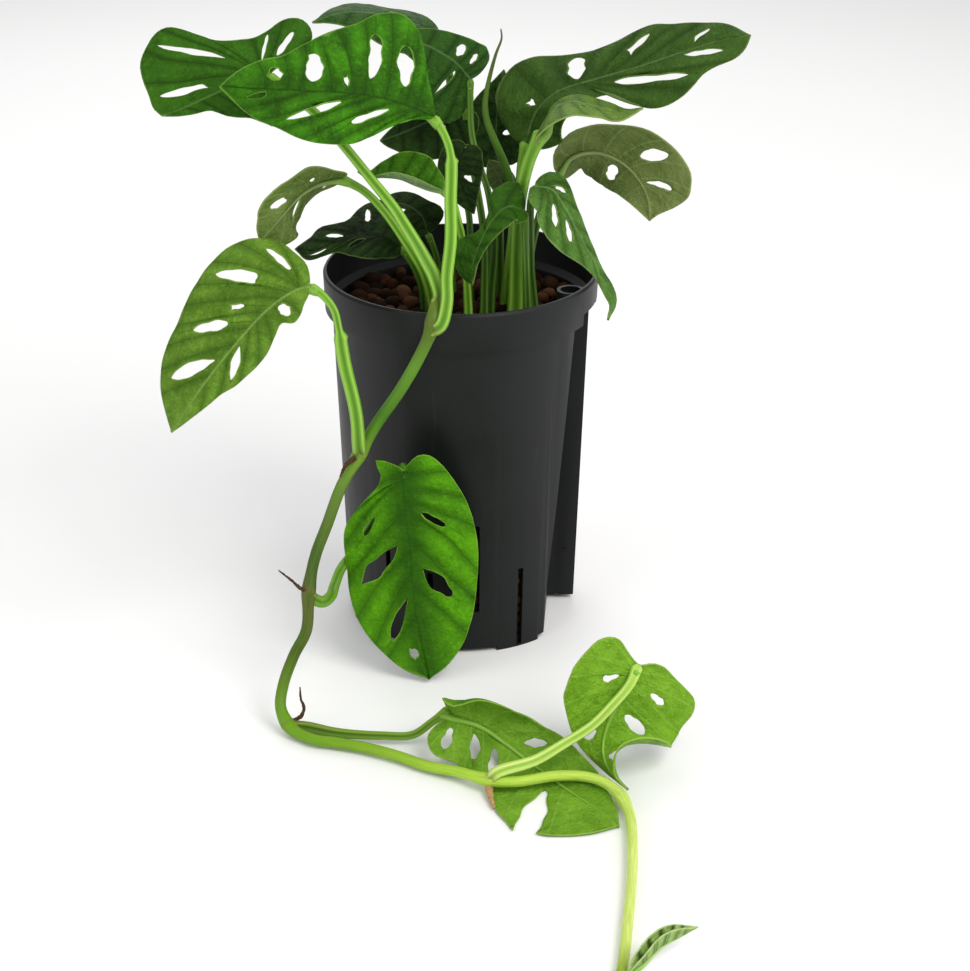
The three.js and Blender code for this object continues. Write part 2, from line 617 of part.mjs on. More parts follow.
    right: {
      margin: [[-0.02, 0.08], [0.05, 0.18], [0.14, 0.22], [0.23, 0.235], [0.34, 0.22], [0.45, 0.165],
        [0.56, 0.1], [0.7, 0.045], [0.85, 0.035], [0.95, 0.015]],
      holes: [[0.16, 0.06, 0.27, 0.14, 0.05], [0.3, 0.05, 0.41, 0.09, 0.06]],
    },
    petiole: {
      points: [[38.5, -24, 146], [38, -24.5, 172], [35.5, -27, 200], [35, -29, 221], [35, -31, 236],
        [37, -32, 245]],
      foot: 2.6, neck: 1.9,
    },
  },
  {
    name: 'leaf_crown_curled', colour: COLOURS.bladeBright,
    rib: [[31.6, -38, 234.4], [23.7, -42, 237.8], [16.3, -47, 232.8], [10.9, -51, 223.8], [7, -54, 213.6],
      [6.5, -56, 202.4]],
    up: [[-0.3, -0.6, 0.7], [-0.6, -0.75, 0.3]],
    left: {
      margin: [[-0.03, 0.05], [0, 0.12], [0.12, 0.17], [0.3, 0.18], [0.45, 0.14], [0.62, 0.085],
        [0.78, 0.055], [0.91, 0.025]],
    },
    right: {
      margin: [[-0.02, 0.08], [-0.02, 0.2], [0.06, 0.26], [0.16, 0.26], [0.25, 0.17], [0.34, 0.08],
        [0.44, 0.055], [0.54, 0.09], [0.61, 0.18], [0.68, 0.25], [0.78, 0.225], [0.88, 0.18], [0.96, 0.1]],
    },
    petiole: {
      points: [[34, -31.5, 146], [34, -33, 175], [33, -35, 204], [32.5, -36, 218], [32.3, -37, 227],
        [31.6, -38, 234.4]],
      foot: 2.4, neck: 1.7,
    },
  },
  {
    name: 'leaf_left_cupped', colour: COLOURS.bladeBright,
    rib: [[-8, -43, 247], [-15, -43, 248], [-22, -42, 250], [-29, -40, 252], [-37, -38, 252], [-44, -36, 251],
      [-50, -34, 253]],
    up: [[0, -0.2, 1], [0, -0.2, 1]],
    foldLeft: [[10, 100], [10, 100]], foldRight: [[30, 80], [30, 60]],
    left: {
      margin: [[0.02, 0.1], [0.12, 0.2], [0.3, 0.27], [0.5, 0.25], [0.7, 0.18], [0.88, 0.08]],
    },
    right: {
      margin: [[0, 0.12], [0.1, 0.25], [0.28, 0.34], [0.48, 0.32], [0.68, 0.2], [0.88, 0.07]],
    },
    petiole: {
      points: [[4, -24, 146], [4, -25, 175], [2, -30, 211], [-1, -36, 229], [-4, -40, 241], [-8, -43, 247]],
      foot: 2.8, neck: 1.9,
    },
  },
  {
    name: 'leaf_crown_dark', colour: COLOURS.bladeDark,
    rib: [[3, -16, 261], [0, -20, 255], [0, -23, 247], [3, -25, 238], [7, -26, 229]],
    up: [[-0.3, -0.9, 0.3], [-0.3, -0.9, 0.3]],
    left: {
      margin: [[-0.05, 0.1], [0, 0.24], [0.2, 0.34], [0.45, 0.34], [0.7, 0.22], [0.9, 0.08]],
      holes: [[0.45, 0.06, 0.55, 0.2, 0.12]],
    },
    right: {
      margin: [[-0.05, 0.1], [0, 0.22], [0.2, 0.3], [0.45, 0.3], [0.7, 0.2], [0.9, 0.08]],
    },
    petiole: {
      points: [[11, -18, 146], [12, -19, 180], [12, -18, 213], [9, -15, 235], [6, -13, 250], [3, -16, 261]],
      foot: 2.8, neck: 1.8,
    },
  },
  {
    name: 'leaf_crown_back', colour: COLOURS.bladeDark,
    rib: [[19, 22, 241], [18, 24, 254], [19, 26, 270], [22, 27, 288]],
    up: [[0.1, -0.9, 0.2], [0.1, -0.9, 0.2]],
    left: {
      margin: [[-0.05, 0.12], [0.03, 0.28], [0.22, 0.38], [0.45, 0.36], [0.7, 0.22], [0.88, 0.08]],
    },
    right: {
      margin: [[-0.05, 0.12], [0.03, 0.28], [0.22, 0.38], [0.45, 0.36], [0.7, 0.22], [0.88, 0.08]],
      holes: [[0.3, 0.07, 0.36, 0.24, 0.07]],
    },
    petiole: {
      points: [[20, 8, 146], [20, 10, 175], [20, 14, 207], [19, 18, 225], [19, 22, 241]],
      foot: 3, neck: 2,
    },
  },
  {
    name: 'leaf_crown_left', colour: COLOURS.bladeDark,
    rib: [[2.8, 15, 271.1], [-5.3, 16, 268.7], [-15.5, 17, 264.2], [-26.7, 17, 259], [-34.9, 16, 256.1],
      [-40.9, 15, 254.3]],
    up: [[0, -0.9, 0.2], [0, -0.9, 0.2]],
    left: {
      margin: [[-0.08, 0.05], [-0.11, 0.14], [-0.07, 0.25], [0.03, 0.35], [0.14, 0.41], [0.38, 0.43],
        [0.6, 0.38], [0.76, 0.27], [0.88, 0.15], [0.96, 0.07]],
      holes: [[0.3, 0.09, 0.36, 0.26, 0.06]],
    },
    right: {
      margin: [[-0.1, 0.05], [-0.11, 0.14], [-0.07, 0.23], [0.06, 0.27], [0.22, 0.24], [0.45, 0.19],
        [0.73, 0.12], [0.88, 0.07]],
    },
    petiole: {
      points: [[5, 2, 146], [4.7, 5, 190], [4.2, 8, 217.1], [1.7, 11, 226.8], [0.2, 12.5, 236.8],
        [0.7, 14, 249.4], [2.3, 15, 262.2], [2.8, 15, 271.1]],
      foot: 2.4, neck: 1.6,
    },
  },
  {
    name: 'leaf_crown_olive', colour: COLOURS.bladeOlive,
    rib: [[24.6, 9, 225.8], [21.6, 9, 233.3], [18, 9, 240.2], [14.4, 9, 246]],
    up: [[0, 0.8, 0.3], [0, 0.8, 0.3]],
    left: { margin: [[-0.03, 0.12], [0.1, 0.26], [0.4, 0.32], [0.65, 0.28], [0.88, 0.14]] },
    right: { margin: [[-0.03, 0.1], [0.1, 0.22], [0.4, 0.29], [0.65, 0.27], [0.88, 0.14]] },
    petiole: {
      points: [[13, 2, 146], [13, 2, 180], [15, 4, 203], [20, 8, 216], [24.6, 9, 225.8]],
      foot: 2.2, neck: 1.5,
    },
  },
  {
    name: 'leaf_left_arched', colour: COLOURS.bladeOlive,
    rib: [[-58, -38, 251], [-64, -42, 251.5], [-71, -47, 250.5], [-78, -53, 247], [-84.5, -60, 241],
      [-91, -64, 233.5], [-96, -67, 228.5]],
    up: [[-0.1, 0.6, 0.8], [-0.6, 0.75, 0.3]],
    left: {
      margin: [[-0.03, 0.08], [0.04, 0.15], [0.15, 0.2], [0.27, 0.3], [0.37, 0.37], [0.5, 0.34], [0.67, 0.34],
        [0.81, 0.28], [0.94, 0.16]],
      holes: [[0.3, 0.06, 0.33, 0.15, 0.05], [0.6, 0.08, 0.72, 0.2, 0.09]],
    },
    right: {
      margin: [[-0.05, 0.15], [0.05, 0.3], [0.2, 0.38], [0.4, 0.4], [0.6, 0.37], [0.8, 0.34], [0.92, 0.2]],
      holes: [[0.08, 0.14, 0.05, 0.3, 0.08], [0.4, 0.07, 0.6, 0.25, 0.17]],
    },
    petiole: {
      points: [[-14, -14, 146], [-14, -17, 172], [-18, -26, 196], [-26, -32, 214], [-38, -35, 234],
        [-47, -36, 244], [-58, -38, 251]],
      foot: 2.8, neck: 2,
    },
  },
  {
    name: 'leaf_left_rim_front', colour: COLOURS.bladeDark,
    rib: [[-30, -22, 210], [-38, -22, 215], [-50, -22, 216], [-63, -22, 212], [-74, -22, 208],
      [-83, -22, 209]],
    up: [[0, -0.5, 0.85], [0, -0.5, 0.85]],
    left: {
      margin: [[-0.02, 0.07], [0.01, 0.14], [0.12, 0.22], [0.26, 0.27], [0.4, 0.25], [0.5, 0.2], [0.62, 0.11],
        [0.77, 0.09], [0.89, 0.1], [0.96, 0.04]],
      holes: [[0.35, 0.05, 0.5, 0.1, 0.06], [0.66, 0.02, 0.88, 0.06, 0.03]],
    },
    right: {
      margin: [[0, 0.05], [0.06, 0.13], [0.16, 0.28], [0.27, 0.4], [0.38, 0.33], [0.47, 0.21], [0.6, 0.22],
        [0.73, 0.235], [0.87, 0.16], [0.96, 0.06]],
      holes: [[0.34, 0.2, 0.33, 0.33, 0.08], [0.52, 0.04, 0.69, 0.12, 0.045]],
    },
    petiole: {
      points: [[-19, -4, 146], [-19, -8, 172], [-20, -13, 186], [-24, -18, 199], [-30, -22, 210]],
      foot: 2.2, neck: 1.7,
    },
  },
  {
    name: 'leaf_left_rim_back', colour: COLOURS.bladeDark,
    rib: [[-17, 6, 208], [-20, 6, 217], [-28, 6, 223], [-37, 5, 224], [-47, 4, 221]],
    up: [[0.2, -0.6, 0.8], [0, -0.6, 0.8]],
    left: {
      margin: [[0, 0.1], [0.12, 0.24], [0.33, 0.33], [0.55, 0.32], [0.84, 0.19], [0.95, 0.07]],
      holes: [[0.48, 0.07, 0.62, 0.16, 0.08]],
    },
    right: {
      margin: [[0, 0.08], [0.1, 0.25], [0.18, 0.32], [0.3, 0.24], [0.46, 0.22], [0.62, 0.17], [0.82, 0.08]],
    },
    petiole: {
      points: [[-12, 10, 146], [-12, 10, 187], [-13, 8, 196], [-17, 6, 208]],
      foot: 2.1, neck: 1.6,
    },
  },
  {
    name: 'leaf_hanging_left', colour: COLOURS.bladeBright,
    rib: [[-71, -92, 215], [-79, -95, 213], [-92, -98, 204], [-105, -100, 190], [-121, -101, 170],
      [-130, -101, 157], [-139, -100, 143]],
    up: [[-0.3, -0.7, 0.65], [-0.5, -0.8, 0.3]],
    foldLeft: [[-35, -75], [-30, -60]],
    left: {
      margin: [[0.01, 0.03], [0.06, 0.08], [0.11, 0.112], [0.17, 0.125], [0.225, 0.09], [0.29, 0.11],
        [0.36, 0.132], [0.44, 0.145], [0.54, 0.135], [0.62, 0.122], [0.7, 0.092], [0.8, 0.067], [0.9, 0.035]],
      holes: [[0.17, 0.014, 0.165, 0.085, 0.07], [0.42, 0.012, 0.615, 0.09, 0.065]],
    },
    right: {
      margin: [[-0.02, 0.05], [-0.03, 0.12], [0, 0.2], [0.05, 0.28], [0.12, 0.36], [0.2, 0.39], [0.3, 0.39],
        [0.4, 0.375], [0.5, 0.35], [0.61, 0.31], [0.72, 0.28], [0.82, 0.23], [0.91, 0.15], [0.97, 0.06]],
      holes: [[0.045, 0.12, 0.09, 0.27, 0.045], [0.2, 0.165, 0.32, 0.345, 0.1], [0.3, 0.1, 0.35, 0.14, 0.03],
        [0.41, 0.1, 0.56, 0.22, 0.05], [0.56, 0.02, 0.81, 0.165, 0.08]],
    },
    petiole: {
      points: [[-50, -78, 126], [-51, -80.5, 145], [-56, -83, 173], [-58, -86, 191], [-60, -89, 202],
        [-65, -91, 210], [-71, -92, 215]],
      foot: 3.6, neck: 2.3,
    },
  },
  {
    name: 'leaf_hanging_front', colour: COLOURS.bladeBright,
    rib: [[-28, -80, 114], [-28, -80, 99], [-27, -80, 85], [-25, -81, 68], [-24, -85, 49], [-21, -90, 29],
      [-16, -93, 3]],
    up: [[0, -0.9, 0.45], [0, -1, 0.1]],
    foldLeft: [[-10, -15], [-10, -15]], foldRight: [[-10, -20], [-10, -20]],
    left: {
      margin: [[-0.02, 0.02], [-0.06, 0.06], [-0.06, 0.11], [-0.02, 0.16], [0.08, 0.23], [0.23, 0.285],
        [0.38, 0.305], [0.52, 0.3], [0.65, 0.28], [0.75, 0.25], [0.88, 0.18], [0.96, 0.09]],
      holes: [[0.22, 0.07, 0.31, 0.17, 0.03], [0.47, 0.05, 0.63, 0.17, 0.07]],
    },
    right: {
      margin: [[-0.01, 0.02], [-0.025, 0.06], [-0.035, 0.1], [-0.03, 0.135], [0, 0.115], [0.04, 0.1],
        [0.09, 0.115], [0.15, 0.17], [0.22, 0.24], [0.29, 0.29], [0.38, 0.305], [0.52, 0.3], [0.63, 0.29],
        [0.73, 0.26], [0.85, 0.19], [0.95, 0.1]],
      holes: [[0.23, 0.14, 0.31, 0.2, 0.025], [0.37, 0.05, 0.55, 0.23, 0.08], [0.6, 0.02, 0.8, 0.13, 0.06],
        [0.86, 0.02, 0.87, 0.06, 0.05]],
    },
    petiole: {
      points: [[-74, -107, 57], [-69, -105, 53], [-65, -96, 51.5], [-63.5, -84, 52], [-60.5, -73, 56],
        [-52, -69, 66], [-40, -69, 87], [-32, -71, 105], [-28.5, -78, 114], [-28, -80, 114]],
      foot: 3, neck: 2.2,
    },
  },
  {
    name: 'leaf_trailing_first', colour: COLOURS.bladeBright,
    rib: [[-5, -158.5, 18], [10, -161, 14], [21, -165.5, 8], [33, -175, 2.6], [42.5, -187, 1.5],
      [52, -200, 1.3], [66, -217.5, 1.3], [74, -229.5, 1.3]],
    up: [[0.3, 0.3, -0.9], [0, 0, -1], [0, 0, -1]],
    foldRight: [[-60, -240], [-25, -190], [-8, -100], [0, -25], [0, -25]],
    left: {
      margin: [[-0.03, 0.04], [-0.06, 0.12], [-0.02, 0.2], [0.1, 0.23], [0.22, 0.235], [0.34, 0.21],
        [0.42, 0.22], [0.54, 0.3], [0.66, 0.34], [0.78, 0.34], [0.9, 0.27], [0.98, 0.14]],
      holes: [[0.02, 0.05, 0.02, 0.17, 0.04], [0.12, 0.04, 0.2, 0.16, 0.08], [0.24, 0.04, 0.35, 0.17, 0.08],
        [0.6, 0.06, 0.7, 0.2, 0.12, true]],
    },
    right: {
      margin: [[-0.04, 0.08], [-0.04, 0.17], [0.04, 0.21], [0.14, 0.19], [0.26, 0.18], [0.36, 0.17],
        [0.46, 0.18], [0.58, 0.17], [0.68, 0.16], [0.78, 0.12], [0.89, 0.07]],
      holes: [[0.33, 0.06, 0.4, 0.11, 0.045]],
    },
    petiole: {
      points: [[-76, -144, 4], [-60, -150.5, 4.5], [-38, -154, 5], [-23, -155, 6], [-13, -156, 14],
        [-5, -158, 22]],
      foot: 3, neck: 2,
    },
  },
  {
    name: 'leaf_trailing_second', colour: COLOURS.bladeYoung,
    rib: [[85, -170, 53], [79, -172, 41], [73, -174, 30], [69, -179, 18], [70, -186, 10], [75, -194, 4.5],
      [79.5, -201, 3]],
    up: [[0.1, 0.8, 0.5], [0.1, 0.8, 0.5]],
    left: {
      margin: [[-0.01, 0.03], [-0.06, 0.12], [-0.12, 0.22], [-0.11, 0.29], [-0.06, 0.35], [0.05, 0.39],
        [0.23, 0.42], [0.39, 0.37], [0.5, 0.28], [0.64, 0.15], [0.8, 0.08], [0.93, 0.04]],
      holes: [[0.11, 0.09, 0.19, 0.18, 0.08], [0.53, 0.06, 0.57, 0.14, 0.06]],
    },
    right: {
      margin: [[0, 0.03], [-0.04, 0.08], [-0.05, 0.18], [-0.01, 0.28], [0.04, 0.4], [0.09, 0.5], [0.16, 0.54],
        [0.28, 0.54], [0.45, 0.5], [0.6, 0.44], [0.76, 0.3], [0.9, 0.13]],
      holes: [[0.16, 0.19, 0.2, 0.32, 0.045], [0.37, 0.1, 0.46, 0.28, 0.09], [0.62, 0.03, 0.78, 0.14, 0.09]],
    },
    petiole: {
      points: [[18, -200, 12], [36, -194, 15], [49, -188, 20], [63, -184, 28], [72, -180, 36], [81, -176, 46],
        [85, -170, 53]],
      foot: 3, neck: 2.3,
    },
  },
  {
    name: 'leaf_trailing_young', colour: COLOURS.bladeYoung,
    rib: [[72, -350, 6], [78, -346, 8], [86, -337, 10], [95, -328, 9], [103, -320, 8]],
    up: [[-0.2, -0.3, 0.9], [-0.2, -0.3, 0.9]],
    foldLeft: [[60, 120], [60, 120]], foldRight: [[60, 120], [60, 120]],
    left: { margin: [[0.05, 0.08], [0.2, 0.17], [0.45, 0.19], [0.7, 0.14], [0.9, 0.05]] },
    right: { margin: [[0.05, 0.08], [0.2, 0.17], [0.45, 0.19], [0.7, 0.14], [0.9, 0.05]] },
  },
];

// ---------------------------------------------------------------- the pot
const TURN = 2 * Math.PI;

// A turned solid from its outline of [radius, height], which starts and ends on the axis.
function turned(outline, segments = POT.segments) {
  const points = outline.map(([radius, height]) => new THREE.Vector2(radius, height));
  return solidOf(new THREE.LatheGeometry(points, segments).rotateX(Math.PI / 2));
}

function cylinder(radius, [x, y], low, high, sides) {
  const geometry = new THREE.CylinderGeometry(radius, radius, high - low, sides);
  return solidOf(geometry.rotateX(Math.PI / 2).translate(x, y, (low + high) / 2));
}

// A box that cuts the wall at an angle from the front towards +X.
function wallCutter(width, [inside, outside], [low, high], angle) {
  const geometry = new THREE.BoxGeometry(width, outside - inside, high - low);
  geometry.translate(0, -(inside + outside) / 2, (low + high) / 2);
  return solidOf(geometry.rotateZ(rad(angle)));
}

// The space that the gauge takes out of the pot, grown on all sides that meet the pot.
function recess(grow) {
  const { footX, footFront, topX, topFront, skew, back, top, reach } = RECESS;
  const level = (x, front, z) => [
    [x - grow, front - grow, z], [x + skew - grow, back + grow, z],
    [reach, back + grow, z], [reach, front - grow, z],
  ];
  const corners = [...level(footX, footFront, -1), ...level(topX, topFront, top + grow)];
  return solidOf(new ConvexGeometry(corners.map(vec)));
}

const FLOOR_TOP = POT.footHeight + POT.floor;
const BAND_FOOT = POT.height - POT.rimBand;
const wallRadius = (z) => THREE.MathUtils.lerp(POT.baseRadius, POT.bodyTopRadius, z / BAND_FOOT);

// The space inside the pot, smaller by a margin, up to a height.
function cavity(margin, top) {
  const shrink = POT.wall + margin;
  return turned([
    [0, FLOOR_TOP + margin], [wallRadius(FLOOR_TOP) - shrink, FLOOR_TOP + margin],
    [wallRadius(BAND_FOOT) - shrink, BAND_FOOT + 1], [POT.rimRadius - 0.5 - shrink, BAND_FOOT + 3.5],
    [POT.rimRadius - shrink, top], [0, top],
  ]);
}

function pot() {
  const rimSoftening = 0.7;
  let solid = turned([
    [0, POT.footHeight], [POT.footInner, POT.footHeight], [POT.footInner, 0], [POT.baseRadius, 0],
    [POT.bodyTopRadius, BAND_FOOT], [POT.rimRadius - rimSoftening, BAND_FOOT],
    [POT.rimRadius, POT.height - 2 * rimSoftening], [POT.rimRadius - rimSoftening, POT.height],
    [0, POT.height],
  ]);
  solid = solid.subtract(recess(0));
  solid = solid.subtract(cavity(0, POT.height + 1).subtract(recess(POT.wall)));
  solid = solid.add(cylinder(POT.padRadius, [0, 0], 0, POT.footHeight + 1, POT.segments / 2));
  const gauge = [COLLAR.x, COLLAR.y];
  solid = solid.add(cylinder(COLLAR.outer, gauge, RECESS.top, COLLAR.top, COLLAR.sides));
  solid = solid.subtract(cylinder(COLLAR.bore, gauge, RECESS.top - 1, COLLAR.top + 1, COLLAR.sides));
  for (let k = 0; k < SLIT.count; k += 1) {
    const angle = SLIT.firstAngle + (k * 360) / SLIT.count;
    const inRecess = angle > SLIT.recessFrom && angle < SLIT.recessTo;
    const low = k % 2 === 1;
    const through = [POT.baseRadius - 3, POT.rimRadius];
    const heights = low ? SLIT.low : SLIT.high;
    if (!inRecess) solid = solid.subtract(wallCutter(SLIT.width, through, heights, angle));
    if (!low) {
      const under = [POT.footInner - 1, POT.rimRadius];
      solid = solid.subtract(wallCutter(SLIT.archWidth, under, [-1, POT.footHeight - 0.4], angle));
    }
  }
  return solid;
}

// ---------------------------------------------------------------- the bed of granules
// Granules lie in a spiral; each raises the bed's surface as a low dome.
function bed(stems) {
  const random = randomFrom(BED.seed);
  const goldenAngle = TURN * 0.381966;
  const radius = wallRadius(BED.top) - POT.wall - BED.gap;
  const granules = [];
  for (let k = 0; k < BED.count; k += 1) {
    const distance = radius * Math.sqrt((k + 0.5) / BED.count);
    const [x, y] = [distance * Math.cos(k * goldenAngle), distance * Math.sin(k * goldenAngle)];
    granules.push({ x, y, top: BED.rise * random() });
  }
  const heightAt = (x, y) => {
    const distances = granules.map((granule) => Math.hypot(x - granule.x, y - granule.y));
    const nearest = Math.min(...distances);
    const dome = BED.granule * Math.sqrt(Math.max(0, 1 - (nearest / BED.granule) ** 2));
    return BED.top - BED.granule / 2 + granules[distances.indexOf(nearest)].top + dome;
  };
  const foot = FLOOR_TOP + BED.gap;
  const outline = [[0, foot], [wallRadius(FLOOR_TOP) - POT.wall - BED.gap, foot]];
  for (let ring = BED.rings; ring >= 0; ring -= 1) outline.push([(radius * ring) / BED.rings, BED.top]);
  const points = outline.map(([r, z]) => new THREE.Vector2(r, z));
  const geometry = new THREE.LatheGeometry(points, BED.segments).rotateX(Math.PI / 2);
  const position = geometry.attributes.position;
  for (let i = 0; i < position.count; i += 1) {
    if (position.getZ(i) > BED.top - 1) {
      const [x, y] = [position.getX(i), position.getY(i)].map((c) => Math.round(c * 1e3) / 1e3);
      position.setZ(i, heightAt(x, y));
    }
  }
  const solid = solidOf(geometry).subtract(recess(POT.wall + BED.gap));
  return stems.reduce((rest, hole) => rest.subtract(hole), solid);
}

// ---------------------------------------------------------------- vine, stems and roots
const VINE_ROUTE = [
  [0, -34, 150], [-4, -44, 172], [-8, -56, 190], [-10, -66, 197.5], [-11, -70, 197.5], [-12.5, -76, 193],
  [-14, -77.5, 186], [-20, -77, 172], [-28.5, -76, 156], [-42, -75, 135], [-50, -75, 120], [-59, -80, 105],
  [-66, -88, 88], [-72, -97, 74], [-75, -106, 60], [-76, -116, 43], [-82, -124, 33], [-87, -132, 21],
  [-88, -139, 12], [-83, -146, 5], [-71, -156, 4], [-60, -159, 4], [-45, -164, 4], [-29, -172, 4],
  [-15, -181, 4], [0, -189, 5.6], [14, -198, 6.8], [27, -200, 7], [45, -195, 7], [59, -195, 6.8],
  [68, -199, 6.2], [75.5, -209, 5], [78.5, -219, 4],
  [79.5, -230, 4], [78.5, -261, 4], [76.5, -286, 4], [73.5, -313, 4], [71.5, -331, 4], [69.5, -346, 4],
];
const VINE_NODES = [[-13, -77, 190], [-50, -75, 120], [-75, -106, 60], [-84, -145, 6], [14, -198, 6],
  [75, -211, 4]];

function vine(grow) {
  const curve = new THREE.CatmullRomCurve3(VINE_ROUTE.map(vec), false, 'centripetal');
  const length = curve.getLength();
  const samples = curve.getSpacedPoints(400);
  const nodes = VINE_NODES.map((node) => {
    const distances = samples.map((point) => point.distanceTo(vec(node)));
    return (distances.indexOf(Math.min(...distances)) / 400) * length;
  });
  const radiusAt = (u) => {
    const swellings = nodes.map((node) => Math.exp(-(((u * length - node) / VINE.nodeWidth) ** 2)));
    const swell = swellings.reduce((sum, one) => sum + one, 0);
    return THREE.MathUtils.lerp(VINE.radius, VINE.tipRadius, u) * (1 + VINE.swell * swell);
  };
  return stem(VINE_ROUTE, radiusAt, { sides: VINE.sides, steps: VINE.steps, grow });
}

// A petiole widens into its sheath near the foot, and into its joint with the blade.
function petiole({ points, foot, neck }, grow = 0) {
  const length = new THREE.CatmullRomCurve3(points.map(vec), false, 'centripetal').getLength();
  const radiusAt = (u) => {
    const sheath = Math.exp(-((u / 0.35) ** 2));
    const joint = Math.exp(-((((1 - u) * length) / 6) ** 2));
    return neck + (foot - neck) * sheath + 0.25 * neck * joint;
  };
  const steps = Math.max(4, Math.round(length / PETIOLE.stepLength));
  const to = 1 - PETIOLE.shortBy / length;
  return stem(points, radiusAt, { sides: PETIOLE.sides, steps, groove: PETIOLE.groove, grow, to });
}

const SPEAR = {
  foot: 2.9,
  points: [[27, 9, 146], [27, 8, 175], [27, 6, 203], [26, 2, 232], [22, 0, 247], [17, -1, 259.4],
    [13.2, -2, 270], [12.4, -3, 279], [14.4, -4, 291], [17.8, -4, 304], [20.6, -4, 312], [20.2, -4, 316.6]],
};

const ROOTS = {
  root_upper: { radius: 1.5, points: [[-52, -79, 120], [-56.5, -81.5, 117], [-59.5, -82.5, 111]] },
  root_middle: { radius: 1.1, points: [[-74, -107, 60], [-78, -109, 62], [-83, -110, 67.5],
    [-89, -112, 74]] },
  root_lower: { radius: 1.2, points: [[-83, -144, 7], [-78, -141, 8.5], [-76.6, -139.5, 12.5],
    [-78, -139, 17], [-78.3, -138, 23]] },
  root_floor: { radius: 1.4, points: [[14, -199, 4], [15, -206, 2.8], [16.6, -214, 1.6]] },
};

// ---------------------------------------------------------------- the whole plant
const roomyVine = vine(GAP);
const holes = [roomyVine];
addPiece('vine', vine(0), COLOURS.vine);
LEAVES.forEach((leaf) => {
  addPiece(`${leaf.name}_blade`, blade(leaf), leaf.colour, 0.4);
  if (!leaf.petiole) return;
  const inBed = leaf.petiole.points[0][2] < BED.top && leaf.petiole.points[0][1] > -POT.rimRadius;
  if (inBed) holes.push(petiole(leaf.petiole, GAP));
  const solid = petiole(leaf.petiole).subtract(blade(leaf, GAP)).subtract(blade(leaf)).subtract(roomyVine);
  addPiece(`${leaf.name}_petiole`, solid, COLOURS.petiole);
});
const spearRadius = (u) => SPEAR.foot * (1 - u * u) + 0.35;
const spear = (grow) => stem(SPEAR.points, spearRadius, { sides: PETIOLE.sides, steps: 22, grow });
holes.push(spear(GAP));
addPiece('spear_leaf', spear(0), COLOURS.bladeYoung);
Object.entries(ROOTS).forEach(([name, { radius, points }]) => {
  const taper = (u) => radius * (1 - 0.7 * u);
  addPiece(name, stem(points, taper, { sides: 5, steps: 5 }).subtract(roomyVine), COLOURS.root, 0.8);
});
addPiece('pot', pot(), COLOURS.pot, 0.6);
addPiece('granule_bed', bed(holes), COLOURS.granules, 0.95);

export default plant;
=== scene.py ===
import math
import random

import bmesh
import bpy
import numpy as np
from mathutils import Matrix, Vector


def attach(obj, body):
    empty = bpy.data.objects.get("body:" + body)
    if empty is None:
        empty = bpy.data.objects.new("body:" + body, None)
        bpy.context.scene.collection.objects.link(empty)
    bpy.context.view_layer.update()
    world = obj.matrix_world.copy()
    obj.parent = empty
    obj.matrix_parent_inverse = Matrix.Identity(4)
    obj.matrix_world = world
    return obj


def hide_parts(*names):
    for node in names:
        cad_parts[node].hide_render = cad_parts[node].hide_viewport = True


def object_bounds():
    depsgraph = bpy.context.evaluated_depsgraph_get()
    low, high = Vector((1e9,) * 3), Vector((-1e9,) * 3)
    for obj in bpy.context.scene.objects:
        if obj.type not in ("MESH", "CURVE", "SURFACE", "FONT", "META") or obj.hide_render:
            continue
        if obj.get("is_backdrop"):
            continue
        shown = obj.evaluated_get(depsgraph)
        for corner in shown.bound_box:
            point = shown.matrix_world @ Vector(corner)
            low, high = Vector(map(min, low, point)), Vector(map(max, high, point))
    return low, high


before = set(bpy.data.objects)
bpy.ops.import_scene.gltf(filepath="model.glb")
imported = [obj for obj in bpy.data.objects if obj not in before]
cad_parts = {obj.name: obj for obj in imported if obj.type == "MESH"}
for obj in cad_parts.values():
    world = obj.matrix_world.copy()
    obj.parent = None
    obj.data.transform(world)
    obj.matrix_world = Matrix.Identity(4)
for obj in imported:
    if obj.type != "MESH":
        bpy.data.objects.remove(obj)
cad_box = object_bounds()
MM = 0.001
TURN = 2 * math.pi


# ---------------------------------------------------------------- camera, light and floor
CAMERA = {"place": (0.0124, -1.2, 0.6173), "pitch": 24.57, "focal_px": 2473.9, "side_px": 971}
SENSOR = 36
LIT_PLACE = (0, -0.08, 0.15)
WHITE, WARM = (1, 1, 1), (1, 0.98, 0.95)
SOFTBOXES = {  # place, side in metres, power in watts and tint
    "key": ((0.7, -1.0, 1.3), 0.9, 17, WARM),
    "fill": ((-1.1, -0.9, 0.7), 1.2, 6.5, WHITE),
    "back": ((-0.2, 1.1, 1.2), 1.2, 9, WHITE),
    "right": ((1.2, -0.1, 0.6), 0.8, 3.5, WHITE),
}
WORLD_STRENGTH = 0.5
FLOOR_SIDE = 8


def added(name, data):
    """A new object, put into the scene."""
    thing = bpy.data.objects.new(name, data)
    bpy.context.scene.collection.objects.link(thing)
    return thing


def add_camera():
    data = bpy.data.cameras.new("photo_view")
    data.sensor_width = SENSOR
    data.lens = CAMERA["focal_px"] * SENSOR / CAMERA["side_px"]
    camera = added("photo_view", data)
    camera.location = CAMERA["place"]
    camera.rotation_euler = (math.radians(90 - CAMERA["pitch"]), 0, 0)
    bpy.context.scene.camera = camera


def add_softbox(name, place, side, power, tint):
    data = bpy.data.lights.new(name, "AREA")
    data.shape = "SQUARE"
    data.size = side
    data.energy = power
    data.color = tint
    light = added(name, data)
    light.location = place
    direction = Vector(LIT_PLACE) - Vector(place)
    light.rotation_euler = direction.to_track_quat("-Z", "Y").to_euler()


